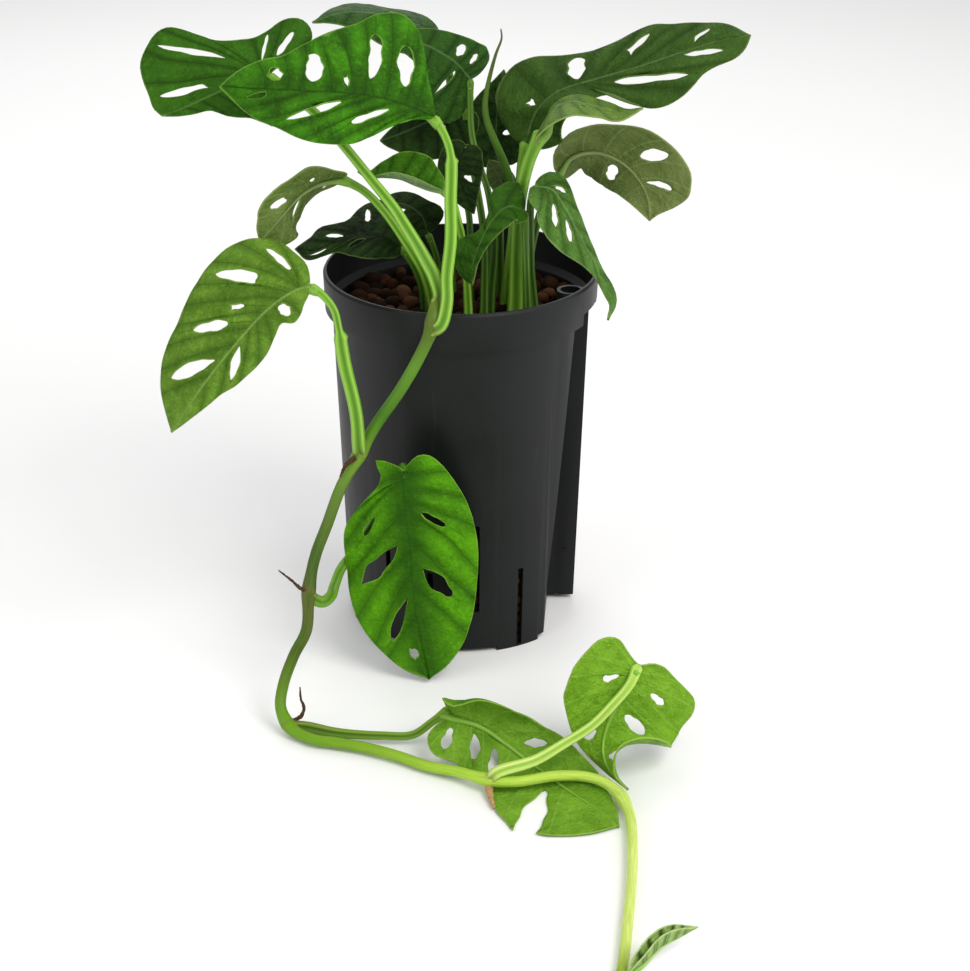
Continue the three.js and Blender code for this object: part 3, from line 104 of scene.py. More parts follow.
def add_studio():
    scene = bpy.context.scene
    scene.view_settings.view_transform = "Standard"
    world = bpy.data.worlds.new("studio")
    world.use_nodes = True
    background = world.node_tree.nodes["Background"]
    background.inputs["Color"].default_value = (*WHITE, 1)
    background.inputs["Strength"].default_value = WORLD_STRENGTH
    scene.world = world
    for name, settings in SOFTBOXES.items():
        add_softbox(name, *settings)


def add_floor():
    bpy.ops.mesh.primitive_plane_add(size=FLOOR_SIDE, location=(0, 0, 0))
    floor = bpy.context.object
    floor.name = "pale_floor"
    floor.data.materials.append(floor_material())
    floor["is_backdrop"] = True


# ---------------------------------------------------------------- materials
def linear(channel):
    share = channel / 255
    return share / 12.92 if share <= 0.04045 else ((share + 0.055) / 1.055) ** 2.4


def colour(red, green, blue):
    return (linear(red), linear(green), linear(blue), 1)


class Shader:
    """A material with one Principled shader, and short calls that add nodes and join them."""

    def __init__(self, name):
        self.material = bpy.data.materials.new(name)
        self.material.use_nodes = True
        self.tree = self.material.node_tree

    def feed(self, socket, value):
        if isinstance(value, bpy.types.NodeSocket):
            self.tree.links.new(value, socket)
        else:
            socket.default_value = value

    def node(self, kind, settings, inputs, output=0):
        node = self.tree.nodes.new(kind)
        for key, value in settings.items():
            setattr(node, key, value)
        for key, value in inputs.items():
            self.feed(node.inputs[key], value)
        return node.outputs[output]

    def attribute(self, name, output="Fac"):
        return self.node("ShaderNodeAttribute", {"attribute_name": name}, {}, output)

    def place(self):
        return self.node("ShaderNodeTexCoord", {}, {}, "Object")

    def noise(self, place, scale, detail=3, roughness=0.55):
        inputs = {"Vector": place, "Scale": scale, "Detail": detail, "Roughness": roughness}
        return self.node("ShaderNodeTexNoise", {}, inputs, "Fac")

    def cell_borders(self, place, scale):
        inputs = {"Vector": place, "Scale": scale}
        return self.node("ShaderNodeTexVoronoi", {"feature": "DISTANCE_TO_EDGE"}, inputs, "Distance")

    def stretch(self, place, scale):
        return self.node("ShaderNodeMapping", {}, {"Vector": place, "Scale": scale})

    def between(self, value, low, high, to_low=0.0, to_high=1.0):
        inputs = {0: value, 1: low, 2: high, 3: to_low, 4: to_high}
        return self.node("ShaderNodeMapRange", {}, inputs)

    def maths(self, operation, first, second):
        return self.node("ShaderNodeMath", {"operation": operation}, {0: first, 1: second})

    def line(self, name, width, strength):
        """A soft line where the attribute, a distance, is about the given half width or less."""
        return self.between(self.attribute(name), width * 0.3, width * 1.5, strength, 0)

    def distorted(self, place, scale, amount):
        inputs = {"Vector": place, "Scale": scale}
        swirl = self.node("ShaderNodeTexNoise", {}, inputs, "Color")
        push = self.node("ShaderNodeVectorMath", {"operation": "SCALE"}, {"Vector": swirl, "Scale": amount})
        return self.node("ShaderNodeVectorMath", {"operation": "ADD"}, {0: place, 1: push})

    def mix(self, share, first, second):
        return self.node("ShaderNodeMix", {"data_type": "RGBA"}, {0: share, 6: first, 7: second}, 2)

    def layered(self, shade, layers):
        """Lays colours over a shade, each by its own share."""
        for share, tone in layers:
            shade = self.mix(share, shade, colour(*tone))
        return shade

    def ramp(self, value, stops):
        node = self.tree.nodes.new("ShaderNodeValToRGB")
        self.feed(node.inputs[0], value)
        elements = node.color_ramp.elements
        while len(elements) < len(stops):
            elements.new(0.5)
        for element, (position, tone) in zip(elements, stops):
            element.position = position
            element.color = colour(*tone)
        return node.outputs[0]

    def bump(self, height, distance, strength):
        inputs = {"Height": height, "Distance": distance, "Strength": strength}
        return self.node("ShaderNodeBump", {}, inputs)

    def finish(self, **sockets):
        surface = self.tree.nodes["Principled BSDF"]
        for key, value in sockets.items():
            self.feed(surface.inputs[key.replace("_", " ")], value)
        return self.material


LEAF_NOISE = {  # scale, detail and roughness
    "patches": (60, 5, 0.65), "glint_specks": (420, 5, 0.7), "grain": (900, 4, 0.7), "puckers": (170, 4, 0.6),
    "gloss": (160, 2, 0.55),
}
NET_SCALE, NET_LINE = 330, 0.09
SWIRL_SCALE, SWIRL = 260, 0.0012
VEIN_WIDTH, RIB_WIDTH, EDGE_WIDTH = 0.35, 0.5, 0.4  # half widths of the lines, in millimetres
VEIN_SHARE, RIB_SHARE, EDGE_SHARE = 0.55, 0.55, 0.75  # how much of a line's colour shows
# Painted shade: dark bands over the creases of the side veins, and a dark valley along the midrib.
CREASE_SHADE_WIDTH, VALLEY_SHADE_WIDTH = 0.035, 0.09  # half widths as shares of the blade's length
PUCKERS, NET_SUNK = 7, -0.35  # weights in the relief, where the grain has 1


def leaf_material(name, tones, length, roughness, net, crease_shade, valley_shade):
    """One face of a blade: patches of two greens, pale specks painted as glints of sheen, a net, furrows and
    a midrib valley darkened as painted shade, veins and margin.

    The attributes vein, rib and edge are distances in millimetres."""
    shader = Shader(name)
    flat = shader.attribute("flat", "Vector")
    noise = {key: shader.noise(flat, *settings) for key, settings in LEAF_NOISE.items()}
    fine = shader.cell_borders(shader.distorted(flat, SWIRL_SCALE, SWIRL), NET_SCALE)
    fine = shader.between(fine, 0, NET_LINE, 1, 0)
    patches = shader.between(noise["patches"], 0.36, 0.64)
    shade = shader.layered(shader.mix(patches, colour(*tones["deep"]), colour(*tones["light"])), [
        (shader.between(noise["grain"], 0.4, 0.75, 0, 0.25), tones["deep"]),
        # pale specks: painted glints of sheen
        (shader.between(noise["glint_specks"], 0.52, 0.7, 0, 0.5), tones["glint"]),
        # painted shade in the creases over the side veins
        (shader.line("vein", CREASE_SHADE_WIDTH * length, crease_shade), tones["dark"]),
        # painted shade in the valley along the midrib
        (shader.line("rib", VALLEY_SHADE_WIDTH * length, valley_shade), tones["dark"]),
        # on the upper face the net and veins take the darkest green, painted shade in the sunk veins; on the
        # lower face they are pale
        (shader.maths("MULTIPLY", fine, net), tones["vein"]),
        (shader.line("vein", VEIN_WIDTH, VEIN_SHARE), tones["vein"]),
        (shader.line("rib", RIB_WIDTH, RIB_SHARE), tones["rib"]),
        (shader.line("edge", EDGE_WIDTH, EDGE_SHARE), tones["edge"]),
    ])
    relief = shader.maths("ADD", shader.maths("MULTIPLY", fine, NET_SUNK), noise["grain"])
    relief = shader.maths("ADD", relief, shader.maths("MULTIPLY", noise["puckers"], PUCKERS))
    gloss = shader.between(noise["gloss"], 0.3, 0.7, roughness - 0.06, roughness + 0.1)
    return shader.finish(Base_Color=shade, Roughness=gloss, Specular_IOR_Level=0.09,
                         Normal=shader.bump(relief, 0.0006, 0.8))


def stalk_material(name, stops, groove, ridge, scar):
    """A green stem: the colour along it, fine streaks, a darker channel, pale ridges and brown scars."""
    shader = Shader(name)
    relief = shader.noise(shader.attribute("flat", "Vector"), 1600, 3, 0.6)
    streaks = shader.between(relief, 0.4, 0.7, 0, 0.35)
    layers = [(streaks, groove), (shader.attribute("groove"), groove), (shader.attribute("ridge"), ridge),
              (shader.attribute("scar"), scar)]
    shade = shader.layered(shader.ramp(shader.attribute("along"), stops), layers)
    gloss = shader.between(streaks, 0, 0.35, 0.34, 0.48)
    return shader.finish(Base_Color=shade, Roughness=gloss, Specular_IOR_Level=0.18,
                         Normal=shader.bump(relief, 0.0004, 0.5))


def root_material(name, *browns):
    shader = Shader(name)
    fibres = shader.noise(shader.place(), 900, 5, 0.7)
    shade = shader.ramp(fibres, list(zip((0.3, 0.55, 0.75), browns)))
    return shader.finish(Base_Color=shade, Roughness=0.85, Specular_IOR_Level=0.2,
                         Normal=shader.bump(fibres, 0.0006, 0.8))


def pot_material():
    """Charcoal moulded plastic: a fine grain, clouds of two greys and faint upright scuffs."""
    shader = Shader("charcoal_plastic")
    place = shader.place()
    clouds = shader.between(shader.noise(place, 22), 0.35, 0.7)
    scuffs = shader.noise(shader.stretch(place, (260, 260, 22)), 1, 4, 0.7)
    shade = shader.mix(clouds, colour(16, 19, 18), colour(23, 27, 26))
    shade = shader.layered(shade, [(shader.between(scuffs, 0.62, 0.8, 0, 0.16), (70, 73, 70))])
    gloss = shader.between(clouds, 0, 1, 0.42, 0.52)
    grain = shader.noise(place, 2600, 2, 0.5)
    return shader.finish(Base_Color=shade, Roughness=gloss, Specular_IOR_Level=0.22,
                         Normal=shader.bump(grain, 0.00012, 0.35))


def clay_material():
    """Fired clay: each granule has its own brown, with dark pores."""
    shader = Shader("fired_clay")
    pores = shader.noise(shader.place(), 1300, 6, 0.75)
    browns = [(0.0, (24, 14, 8)), (0.4, (46, 28, 17)), (0.75, (68, 42, 26)), (1.0, (98, 66, 46))]
    shade = shader.ramp(shader.attribute("shade"), browns)
    shade = shader.layered(shade, [(shader.between(pores, 0.35, 0.65, 0.5, 0), (24, 14, 9))])
    return shader.finish(Base_Color=shade, Roughness=0.92, Specular_IOR_Level=0.05,
                         Normal=shader.bump(pores, 0.0009, 0.9))


def floor_material():
    shader = Shader("pale_floor")
    return shader.finish(Base_Color=colour(246, 246, 246), Roughness=0.8, Specular_IOR_Level=0.1)


# ---------------------------------------------------------------- curves, as the CAD draws them
def lerp(first, second, share):
    return first + (second - first) * share


def bell(gap, width):
    """1 where the gap is nothing, fading out over about the width."""
    return np.exp(-((gap / width) ** 2))


def unit(vectors):
    return vectors / np.maximum(np.linalg.norm(vectors, axis=-1, keepdims=True), 1e-12)


def dot(first, second):
    return np.sum(first * second, axis=-1, keepdims=True)


class Route:
    """A centripetal Catmull-Rom curve through points, measured along its length."""

    def __init__(self, points, samples=800):
        points = np.array(points, float)
        before = 2 * points[0] - points[1]
        after = 2 * points[-1] - points[-2]
        self.points = np.vstack([before, points, after])
        self.spans = len(points) - 1
        self.steps = np.linspace(0, 1, samples + 1)
        strides = np.linalg.norm(np.diff(self.raw(self.steps), axis=0), axis=1)
        self.reached = np.concatenate([[0], np.cumsum(strides)])
        self.length = self.reached[-1]

    def raw(self, t):
        """Points at parameters t from 0 to 1, which don't measure the length evenly."""
        whole = np.asarray(t, float) * self.spans
        first = np.clip(np.floor(whole).astype(int), 0, self.spans - 1)
        share = (whole - first)[..., None]
        p0, p1, p2, p3 = (self.points[first + k] for k in range(4))
        pairs = ((p0, p1), (p1, p2), (p2, p3))
        gap0, gap1, gap2 = (np.sqrt(np.linalg.norm(b - a, axis=-1, keepdims=True)) for a, b in pairs)
        start = ((p1 - p0) / gap0 - (p2 - p0) / (gap0 + gap1) + (p2 - p1) / gap1) * gap1
        end = ((p2 - p1) / gap1 - (p3 - p1) / (gap1 + gap2) + (p3 - p2) / gap2) * gap1
        square = -3 * p1 + 3 * p2 - 2 * start - end
        cube = 2 * p1 - 2 * p2 + start + end
        return p1 + share * (start + share * (square + share * cube))

    def at(self, u):
        return self.raw(np.interp(np.asarray(u, float) * self.length, self.reached, self.steps))

    def tangent(self, u, step=5e-4):
        u = np.asarray(u, float)
        return unit(self.at(np.minimum(u + step, 1)) - self.at(np.maximum(u - step, 0)))


# ---------------------------------------------------------------- meshes
def join_frame(piece, slot, replaced):
    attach(piece, "root")
    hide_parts(replaced)


def new_piece(name, points, faces, materials, slot, replaced, attributes, face_materials=None):
    """A finished piece from points in millimetres, joined to the frame in place of a node."""
    mesh = bpy.data.meshes.new(name)
    mesh.from_pydata((np.asarray(points) * MM).tolist(), [], faces)
    for key, values in attributes.items():
        values = np.asarray(values, np.float32)
        kind, field = ("FLOAT_VECTOR", "vector") if values.ndim == 2 else ("FLOAT", "value")
        mesh.attributes.new(key, kind, "POINT").data.foreach_set(field, values.ravel())
    for material in materials:
        mesh.materials.append(material)
    if face_materials is not None:
        mesh.polygons.foreach_set("material_index", face_materials)
    mesh.polygons.foreach_set("use_smooth", [True] * len(faces))
    mesh.update()
    join_frame(added(name, mesh), slot, replaced)


FACED = np.array([0, -1, 0.4])  # angle 0 of a tube's section looks this way


def swept(route, radius_at, sides, steps):
    """A tube's points and faces, and the share and angle of each point. radius_at takes those two."""
    u = np.linspace(0, 1, steps + 1)
    centre, along = route.at(u), route.tangent(u)
    up = unit(FACED - along * (along @ FACED)[:, None])
    side = np.cross(along, up)
    angle = np.linspace(0, TURN, sides, endpoint=False)
    u_grid, angle_grid = np.meshgrid(u, angle, indexing="ij")
    radius = np.broadcast_to(radius_at(u_grid, angle_grid), u_grid.shape)[..., None]
    turn = angle_grid[..., None]
    points = centre[:, None] + radius * (np.cos(turn) * up[:, None] + np.sin(turn) * side[:, None])
    points = np.vstack([points.reshape(-1, 3), centre[:1], centre[-1:]])
    first, last = len(points) - 2, len(points) - 1
    pairs = [(k, (k + 1) % sides) for k in range(sides)]
    faces = []
    for row in range(0, steps * sides, sides):
        faces += [(row + k, row + after, row + after + sides, row + k + sides) for k, after in pairs]
    for k, after in pairs:
        faces += [(first, after, k), (last, steps * sides + k, steps * sides + after)]
    return points, faces, np.append(u_grid.ravel(), [0, 1]), np.append(angle_grid.ravel(), [0, 0])


# ---------------------------------------------------------------- leaf blades
# A blade is drawn flat in fractions of its length: x runs along the midrib from the joint to
# the tip, y runs out to the margin. The midrib's curve, the direction of the upper face and
# the fold of each half then bend that drawing into space. Lanes run from the midrib to the
# margin between the side veins, and each perforation lies in a lane of its own.
SIDES = ("left", "right")
WIDE_HALF = 0.35  # the y at which a half has its full fold
WIDEST_LANE = 0.15  # as a share of the margin
ROOT_STEP, ROOT_GRID = 0.02, 20  # veins start on the midrib at twentieths of the length
VEIN_BOW = 0.05
ROWS, RIB_STOPS = 25, 90
HOLE_FROM, HOLE_TO = 0.2, 0.8  # where down its lane a perforation starts and ends
COLUMN_WIDTH, THICKNESS = 2.6, 0.7  # in millimetres
EASE_PASSES, EASE_STEP = 60, 0.93
FAR = 12.0  # distances from a vein or the margin stop counting here, in millimetres
QUILT, QUILT_WIDTH, MARGIN_WAVE = 0.008, 0.03, 0.0012  # shares of the blade's length
QUILTS = {"leaf_hanging_front": 0.014, "leaf_left_high": 0.011, "leaf_hanging_left": 0.01}
LEAF_APART = 0.37  # keeps the markings of two leaves from being the same
WELD = 1e-5
KEEL_START, KEEL_JOINT = 5, 7  # how far into the stalk a keel starts, and its swollen end, in millimetres
KEEL_RING, KEEL_PITCH = 0.002, 0.06  # its streaks: metres round it, and how far drawn out
BARE_NECK = 1.2  # the midrib's half width where a blade has no stalk


def evenly(values, x):
    """An evenly spaced list of lists, read at x from 0 to 1."""
    values = np.array(values, float)
    stops = np.linspace(0, 1, len(values))
    return np.stack([np.interp(x, stops, column) for column in values.T], axis=-1)


def half_of(leaf, side, key, plain=None):
    """What the leaf says of this half, or of both."""
    return leaf.get(f"{side}_{key}", leaf.get(key, plain))


class BladeSurface:
    def __init__(self, leaf):
        self.route = Route(leaf["rib"])
        self.length = self.route.length
        self.up = unit(np.array(leaf["up"], float))
        self.fold = {side: half_of(leaf, side, "fold", [[0, 0]]) for side in SIDES}

    def at(self, side, x, y, lift=0.0):
        """Points of one half; lift raises them from the sheet, as a share of the length."""
        inside = np.clip(x, 0, 1)
        along = self.route.tangent(inside)
        point = self.route.at(inside) + along * ((x - inside) * self.length)[..., None]
        up = evenly(self.up, inside)
        up = unit(up - along * dot(up, along))
        out = np.cross(along, up) * (-1 if side == "left" else 1)
        start, end = np.moveaxis(np.radians(evenly(self.fold[side], inside)), -1, 0)
        bend = (end - start) / WIDE_HALF + 1e-6
        angle = start + bend * y
        sideways = ((np.sin(angle) - np.sin(start)) / bend - lift * np.sin(angle)) * self.length
        upward = ((np.cos(start) - np.cos(angle)) / bend + lift * np.cos(angle)) * self.length
        return point + out * sideways[..., None] + up * upward[..., None]


def axis_of(hole, margin):
    """Where the line through a perforation starts on the midrib and ends on the margin."""
    x1, y1, x2, y2 = hole[:4]
    root = np.clip(x1 - (x2 - x1) * y1 / max(y2 - y1, 0.01), 0.02, 0.97)
    direction = np.array([x2 - x1, y2 - y1])
    reach = np.hypot(*direction)
    direction = direction / reach
    shares = np.arange(1, 100) / 100
    offset = margin.at(shares) - [x1, y1]
    ahead = offset @ direction
    miss = np.abs(offset[:, 0] * direction[1] - offset[:, 1] * direction[0])
    miss = miss + (ahead < reach) + ahead * 0.05
    return {"root": float(root), "end": float(shares[np.argmin(miss)]), "hole": hole}


def uncrossed(edges, margin):
    """Moves a vein's start towards the tip where it would cut across the next one's lane."""
    tips = margin.at(np.array([end for _, end in edges]))
    roots = [root for root, _ in edges]
    for k in range(1, len(edges) - 1):
        (x1, y1), (x2, y2) = tips[k - 1], tips[k]
        rises = k > 1 and y2 > y1 + 1e-3 and x2 > x1
        least = x2 - (x2 - x1) * y2 / (y2 - y1) if rises else 0
        roots[k - 1] = max(roots[k - 1], math.ceil(least * ROOT_GRID) / ROOT_GRID)
        roots[k] = max(roots[k], roots[k - 1])
    return [(root, end) for root, (_, end) in zip(roots, edges)]


def lanes_of(holes, fan, margin):
    """Lanes between the side veins: one for each perforation, plain ones where the gap is wide."""
    centres = sorted((axis_of(hole, margin) for hole in holes), key=lambda lane: lane["end"])
    lanes = []
    before = {"root": 0, "end": 0}
    for centre in [*centres, {"root": 1, "end": 1}]:
        extra = max(0, math.ceil((centre["end"] - before["end"]) / WIDEST_LANE) - 1)
        for k in range(1, extra + 1):
            share = k / (extra + 1)
            lanes.append({key: lerp(before[key], centre[key], share) for key in ("root", "end")})
        if "hole" in centre:
            lanes.append(centre)
        before = centre
    root = 0
    for lane in lanes:
        root = max(lane["root"], root + ROOT_STEP) if fan is None else fan
        lane["root"] = root
    edges = [(0, 0)]
    for one, other in zip(lanes, lanes[1:]):
        root = math.floor((one["root"] + other["root"]) / 2 * ROOT_GRID + 0.5) / ROOT_GRID
        edges.append((root, (one["end"] + other["end"]) / 2))
    edges.append((1, 1))
    if fan is None:
        edges = uncrossed(edges, margin)
    for lane, start, stop in zip(lanes, edges, edges[1:]):
        lane.update({"from": start, "to": stop})
    return lanes


def vein_line(edge, margin, t):
    root, end = edge
    tip = margin.at(end)
    bow = VEIN_BOW * t * (1 - t) if 0 < end < 1 else 0
    return np.stack([lerp(root, tip[0], t) - bow, tip[1] * t], axis=-1)


def hole_edges(lane, margin, t):
    """Both edges of a perforation down its lane; they are one line before and after it."""
    x1, y1, x2, y2, width = lane["hole"][:5]
    torn = len(lane["hole"]) > 5
    root = np.array([(lane["from"][0] + lane["to"][0]) / 2, 0])
    tip = margin.at((lane["from"][1] + lane["to"][1]) / 2)
    near = np.array([x1, y1])
    far = tip if torn else np.array([x2, y2])
    stop = 1 if torn else HOLE_TO
    share = np.clip((t - HOLE_FROM) / (stop - HOLE_FROM), 0, 1)
    share = share if torn else (1 - np.cos(np.pi * share)) / 2
    bulge = np.sqrt(share) if torn else np.sqrt(np.clip(1 - (2 * share - 1) ** 2, 0, 1))
    middle = lerp(near, far, share[:, None])
    middle = np.where((t < HOLE_FROM)[:, None], lerp(root, near, (t / HOLE_FROM)[:, None]), middle)
    if not torn:
        after = np.clip((t - HOLE_TO) / (1 - HOLE_TO), 0, 1)
        middle = np.where((t > HOLE_TO)[:, None], lerp(far, tip, after[:, None]), middle)
    across = np.array([y2 - y1, x1 - x2])
    across = across / np.hypot(*across) * (width / 2)
    bulge = bulge * (1 + 0.13 * np.sin(8 * share + 90 * x1) + 0.09 * np.sin(15 * share + 70 * y2))
    return middle - bulge[:, None] * across, middle + bulge[:, None] * across, bulge > 1e-6


def turn(a, b, c):
    """Twice the signed areas of flat triangles."""
    return (b[:, 0] - a[:, 0]) * (c[:, 1] - a[:, 1]) - (b[:, 1] - a[:, 1]) * (c[:, 0] - a[:, 0])


def folds_over(near, far):
    """The rows where the strip between two lines would fold over."""
    areas = np.maximum(turn(near[:-1], near[1:], far[1:]), turn(near[:-1], far[1:], far[:-1]))
    folded = areas > 1e-9
    return np.append(folded, False) | np.append(False, folded)


def eased(start, first, second, stop):
    """Draws a perforation in towards the middle of its lane wherever its lane would fold over."""
    middle = (start + stop) / 2
    keep = np.ones((len(start), 1))
    for _ in range(EASE_PASSES):
        one, two = lerp(middle, first, keep), lerp(middle, second, keep)
        folded = folds_over(start, one) | folds_over(two, stop)
        if not folded.any():
            break
        wide = np.convolve(folded, np.ones(3), "same") > 0
        keep[wide] *= EASE_STEP
        keep[1:-1] = (keep[:-2] + 2 * keep[1:-1] + keep[2:]) / 4
    return one, two


def strips_of(lane, margin, t, length):
    """The lane as strips of columns: before and after its perforation, or one strip."""
    start = vein_line(lane["from"], margin, t)
    stop = vein_line(lane["to"], margin, t)
    if "hole" not in lane:
        return [strip(start, stop, lane["from"], lane["to"], margin, t, length)]
    first, second, opened = hole_edges(lane, margin, t)
    first, second = eased(start, first, second, stop)
    root = (lane["from"][0] + lane["to"][0]) / 2
    end = (lane["from"][1] + lane["to"][1]) / 2
    torn = len(lane["hole"]) > 5
    shift = lane["hole"][4] / 2 / margin.length if torn else 0
    return [
        strip(start, first, lane["from"], (root, end - shift), margin, t, length, 1, opened),
        strip(second, stop, (root, end + shift), lane["to"], margin, t, length, 0, opened),
    ]


def strip(start, stop, edge, other, margin, t, length, hole_side=None, opened=None):
    """Columns between two lines. hole_side is 1 where stop is a perforation's edge, 0 where start is."""
    wide = np.linalg.norm(stop[-1] - start[-1]) * length
    count = int(np.clip(round(wide / COLUMN_WIDTH), 4, 12))
    q = np.linspace(0, 1, count + 1)
    grid = lerp(start[:, None], stop[:, None], q[None, :, None])
    on_margin = margin.at(np.clip(lerp(edge[1], other[1], q), 0, 1))
    bulge = on_margin - lerp(on_margin[:1], on_margin[-1:], q[:, None])
    grid = grid + bulge[None] * (t ** 2)[:, None, None]
    vein_gap = np.full(grid.shape[:2], 1.0)
    if hole_side != 0 and edge[1] > 0:
        vein_gap = np.minimum(vein_gap, np.linalg.norm(grid - start[:, None], axis=-1))
    if hole_side != 1 and other[1] < 1:
        vein_gap = np.minimum(vein_gap, np.linalg.norm(grid - stop[:, None], axis=-1))
    margin_gap = (1 - t)[:, None] * np.linalg.norm(grid[-1:] - grid[:1], axis=-1)
    if hole_side is not None:
        edge_line = stop if hole_side else start
        hole_gap = np.linalg.norm(grid - edge_line[:, None], axis=-1) + np.where(opened, 0, 1)[:, None]
        margin_gap = np.minimum(margin_gap, hole_gap)
    roots = lerp(edge[0], other[0], q)
    return {"grid": grid, "vein": vein_gap * length, "edge": margin_gap * length, "roots": roots}


def blade_sheet(leaf, surface, count):
    """The points, masks and faces of the blade's middle sheet, both halves."""
    draw = random.Random(count)
    t = np.linspace(0, 1, ROWS + 1)
    length = surface.length
    quilt = QUILTS.get(leaf["name"], QUILT)
    blocks, faces = [], []

    def put(side, x, y, vein, edge, lift):
        start = sum(len(block[0]) for block in blocks)
        sign = -1 if side == "left" else 1
        drawn = [x * length * MM, sign * y * length * MM, np.full_like(x, count * LEAF_APART)]
        masks = (np.minimum(vein, FAR), np.minimum(edge, FAR), y * length)
        blocks.append((surface.at(side, x, y, lift), np.stack(drawn, axis=-1), *masks))
        return np.arange(start, start + len(x))

    margins = {side: Route([[0, 0], *half_of(leaf, side, "margin"), [1, 0]]) for side in SIDES}
    lanes = {side: lanes_of(half_of(leaf, side, "holes", []), half_of(leaf, side, "fan"), margins[side])
             for side in SIDES}
    rib_x = np.linspace(0, 1, RIB_STOPS + 1)
    on_rib = np.zeros(RIB_STOPS + 1)
    roots = np.array([lane["from"][0] for side in SIDES for lane in lanes[side][1:]])
    rib_gap = np.abs(rib_x[:, None] - roots).min(axis=1) * length
    rib_ids = put("right", rib_x, on_rib, rib_gap, on_rib + FAR, on_rib)
    for side in SIDES:
        phases = [draw.uniform(0, TURN) for _ in range(2)]
        turned = slice(None, None, -1 if side == "left" else 1)
        first_ids, first_roots = [], []
        for lane in lanes[side]:
            for piece in strips_of(lane, margins[side], t, length):
                x, y = piece["grid"][..., 0], np.maximum(piece["grid"][..., 1], 0)
                crest = 1 - bell(piece["vein"], QUILT_WIDTH * length)
                ripple = np.sin(TURN * 5 * x + phases[0]) + np.sin(TURN * 9 * x + phases[1])
                lift = quilt * crest * np.sin(np.pi * t)[:, None] ** 0.7
                lift = lift + MARGIN_WAVE * ripple * (t ** 3)[:, None]
                fields = (x, y, piece["vein"], piece["edge"], lift)
                ids = put(side, *(field[1:].ravel() for field in fields)).reshape(ROWS, -1)
                corners = np.stack([ids[:-1, :-1], ids[1:, :-1], ids[1:, 1:], ids[:-1, 1:]], axis=-1)
                faces.extend(corners.reshape(-1, 4)[:, turned].tolist())
                first_ids.extend(ids[0].tolist())
                first_roots.extend(piece["roots"])
        faces.extend(face[turned] for face in zip_rows(rib_ids.tolist(), rib_x, first_ids, first_roots))
    return [np.concatenate(block) for block in zip(*blocks)], faces


def zip_rows(rib_ids, rib_x, row_ids, row_x):
    """Triangles between the midrib's stops and the first row of a half."""
    faces = []
    i = k = 0
    while i < len(rib_ids) - 1 or k < len(row_ids) - 1:
        if k == len(row_ids) - 1 or (i < len(rib_ids) - 1 and rib_x[i + 1] <= row_x[k + 1]):
            faces.append((rib_ids[i], row_ids[k], rib_ids[i + 1]))
            i += 1
        else:
            faces.append((rib_ids[i], row_ids[k], row_ids[k + 1]))
            k += 1
    return faces


def welded(blocks, faces):
    """Merges the points that strips and halves share, and reads the sheet back."""
    work = bmesh.new()
    index_of = work.verts.layers.int.new("index")
    verts = []
    for k, point in enumerate(blocks[0]):
        vert = work.verts.new(point * MM)
        vert[index_of] = k
        verts.append(vert)
    for face in faces:
        work.faces.new([verts[k] for k in face])
    bmesh.ops.remove_doubles(work, verts=work.verts, dist=WELD)
    loose = [vert for vert in work.verts if not vert.link_faces]
    bmesh.ops.delete(work, geom=loose, context="VERTS")
    work.normal_update()
    work.verts.index_update()
    origin = np.array([vert[index_of] for vert in work.verts])
    place = np.array([vert.co for vert in work.verts]) / MM
    normal = np.array([vert.normal for vert in work.verts])
    polygons = [tuple(vert.index for vert in face.verts) for face in work.faces]
    loops = [edge.link_loops[0] for edge in work.edges if len(edge.link_faces) == 1]
    rims = [(loop.vert.index, loop.link_loop_next.vert.index) for loop in loops]
    work.free()
    return place, normal, polygons, rims, [block[origin] for block in blocks[1:]]


def keel(leaf, surface, neck):
    """The midrib's ridge under the blade: it starts inside the stalk's end and runs out at the tip."""
    x = np.linspace(0.02, 1, 40)
    sunk = -neck * 0.8 * (1 - x) ** 0.8 / surface.length
    down = surface.at("right", x, np.zeros(len(x)), sunk)
    if "petiole" in leaf:
        stalk = Route(leaf["petiole"])
        down = np.vstack([stalk.at(1 - KEEL_START / stalk.length)[None], down])
    route = Route(down)

    def radius_at(u, angle):
        return neck * (0.14 + 0.56 * (1 - u) ** 1.3 + 0.4 * bell(u * route.length, KEEL_JOINT))

    return swept(route, radius_at, 12, 70)


def add_blade(leaf, count):
    surface = BladeSurface(leaf)
    place, normal, polygons, rims, masks = welded(*blade_sheet(leaf, surface, count))
    flat, vein, edge, rib = masks
    size = len(place)
    upper = place + normal * THICKNESS / 2
    lower = place - normal * THICKNESS / 2
    ridge, ridge_faces, along, angle = keel(leaf, surface, leaf.get("neck", BARE_NECK))
    drawn_out = along * surface.length * MM * KEEL_PITCH
    ridge_flat = np.stack([np.cos(angle) * KEEL_RING, drawn_out, np.full_like(along, count)], axis=-1)
    shell = polygons + [tuple(k + size for k in polygon[::-1]) for polygon in polygons]
    shell += [(a, a + size, b + size, b) for a, b in rims]
    shell += [tuple(k + 2 * size for k in face) for face in ridge_faces]
    kinds = [0] * len(polygons) + [1] * (len(polygons) + len(rims)) + [2] * len(ridge_faces)
    pad = np.full(len(ridge), FAR)
    attributes = {
        "flat": np.vstack([flat, flat, ridge_flat]),
        "vein": np.concatenate([vein, vein, pad]),
        "edge": np.concatenate([edge, edge, pad]),
        "rib": np.concatenate([rib, rib, pad]),
        "along": np.concatenate([np.zeros(2 * size), along]),
    }
    name = leaf["name"] + "_blade"
    materials = leaf_materials(leaf["name"], surface.length)
    points = np.vstack([upper, lower, ridge])
    new_piece(name + "_veined", points, shell, materials, leaf["slot"], name, attributes, kinds)


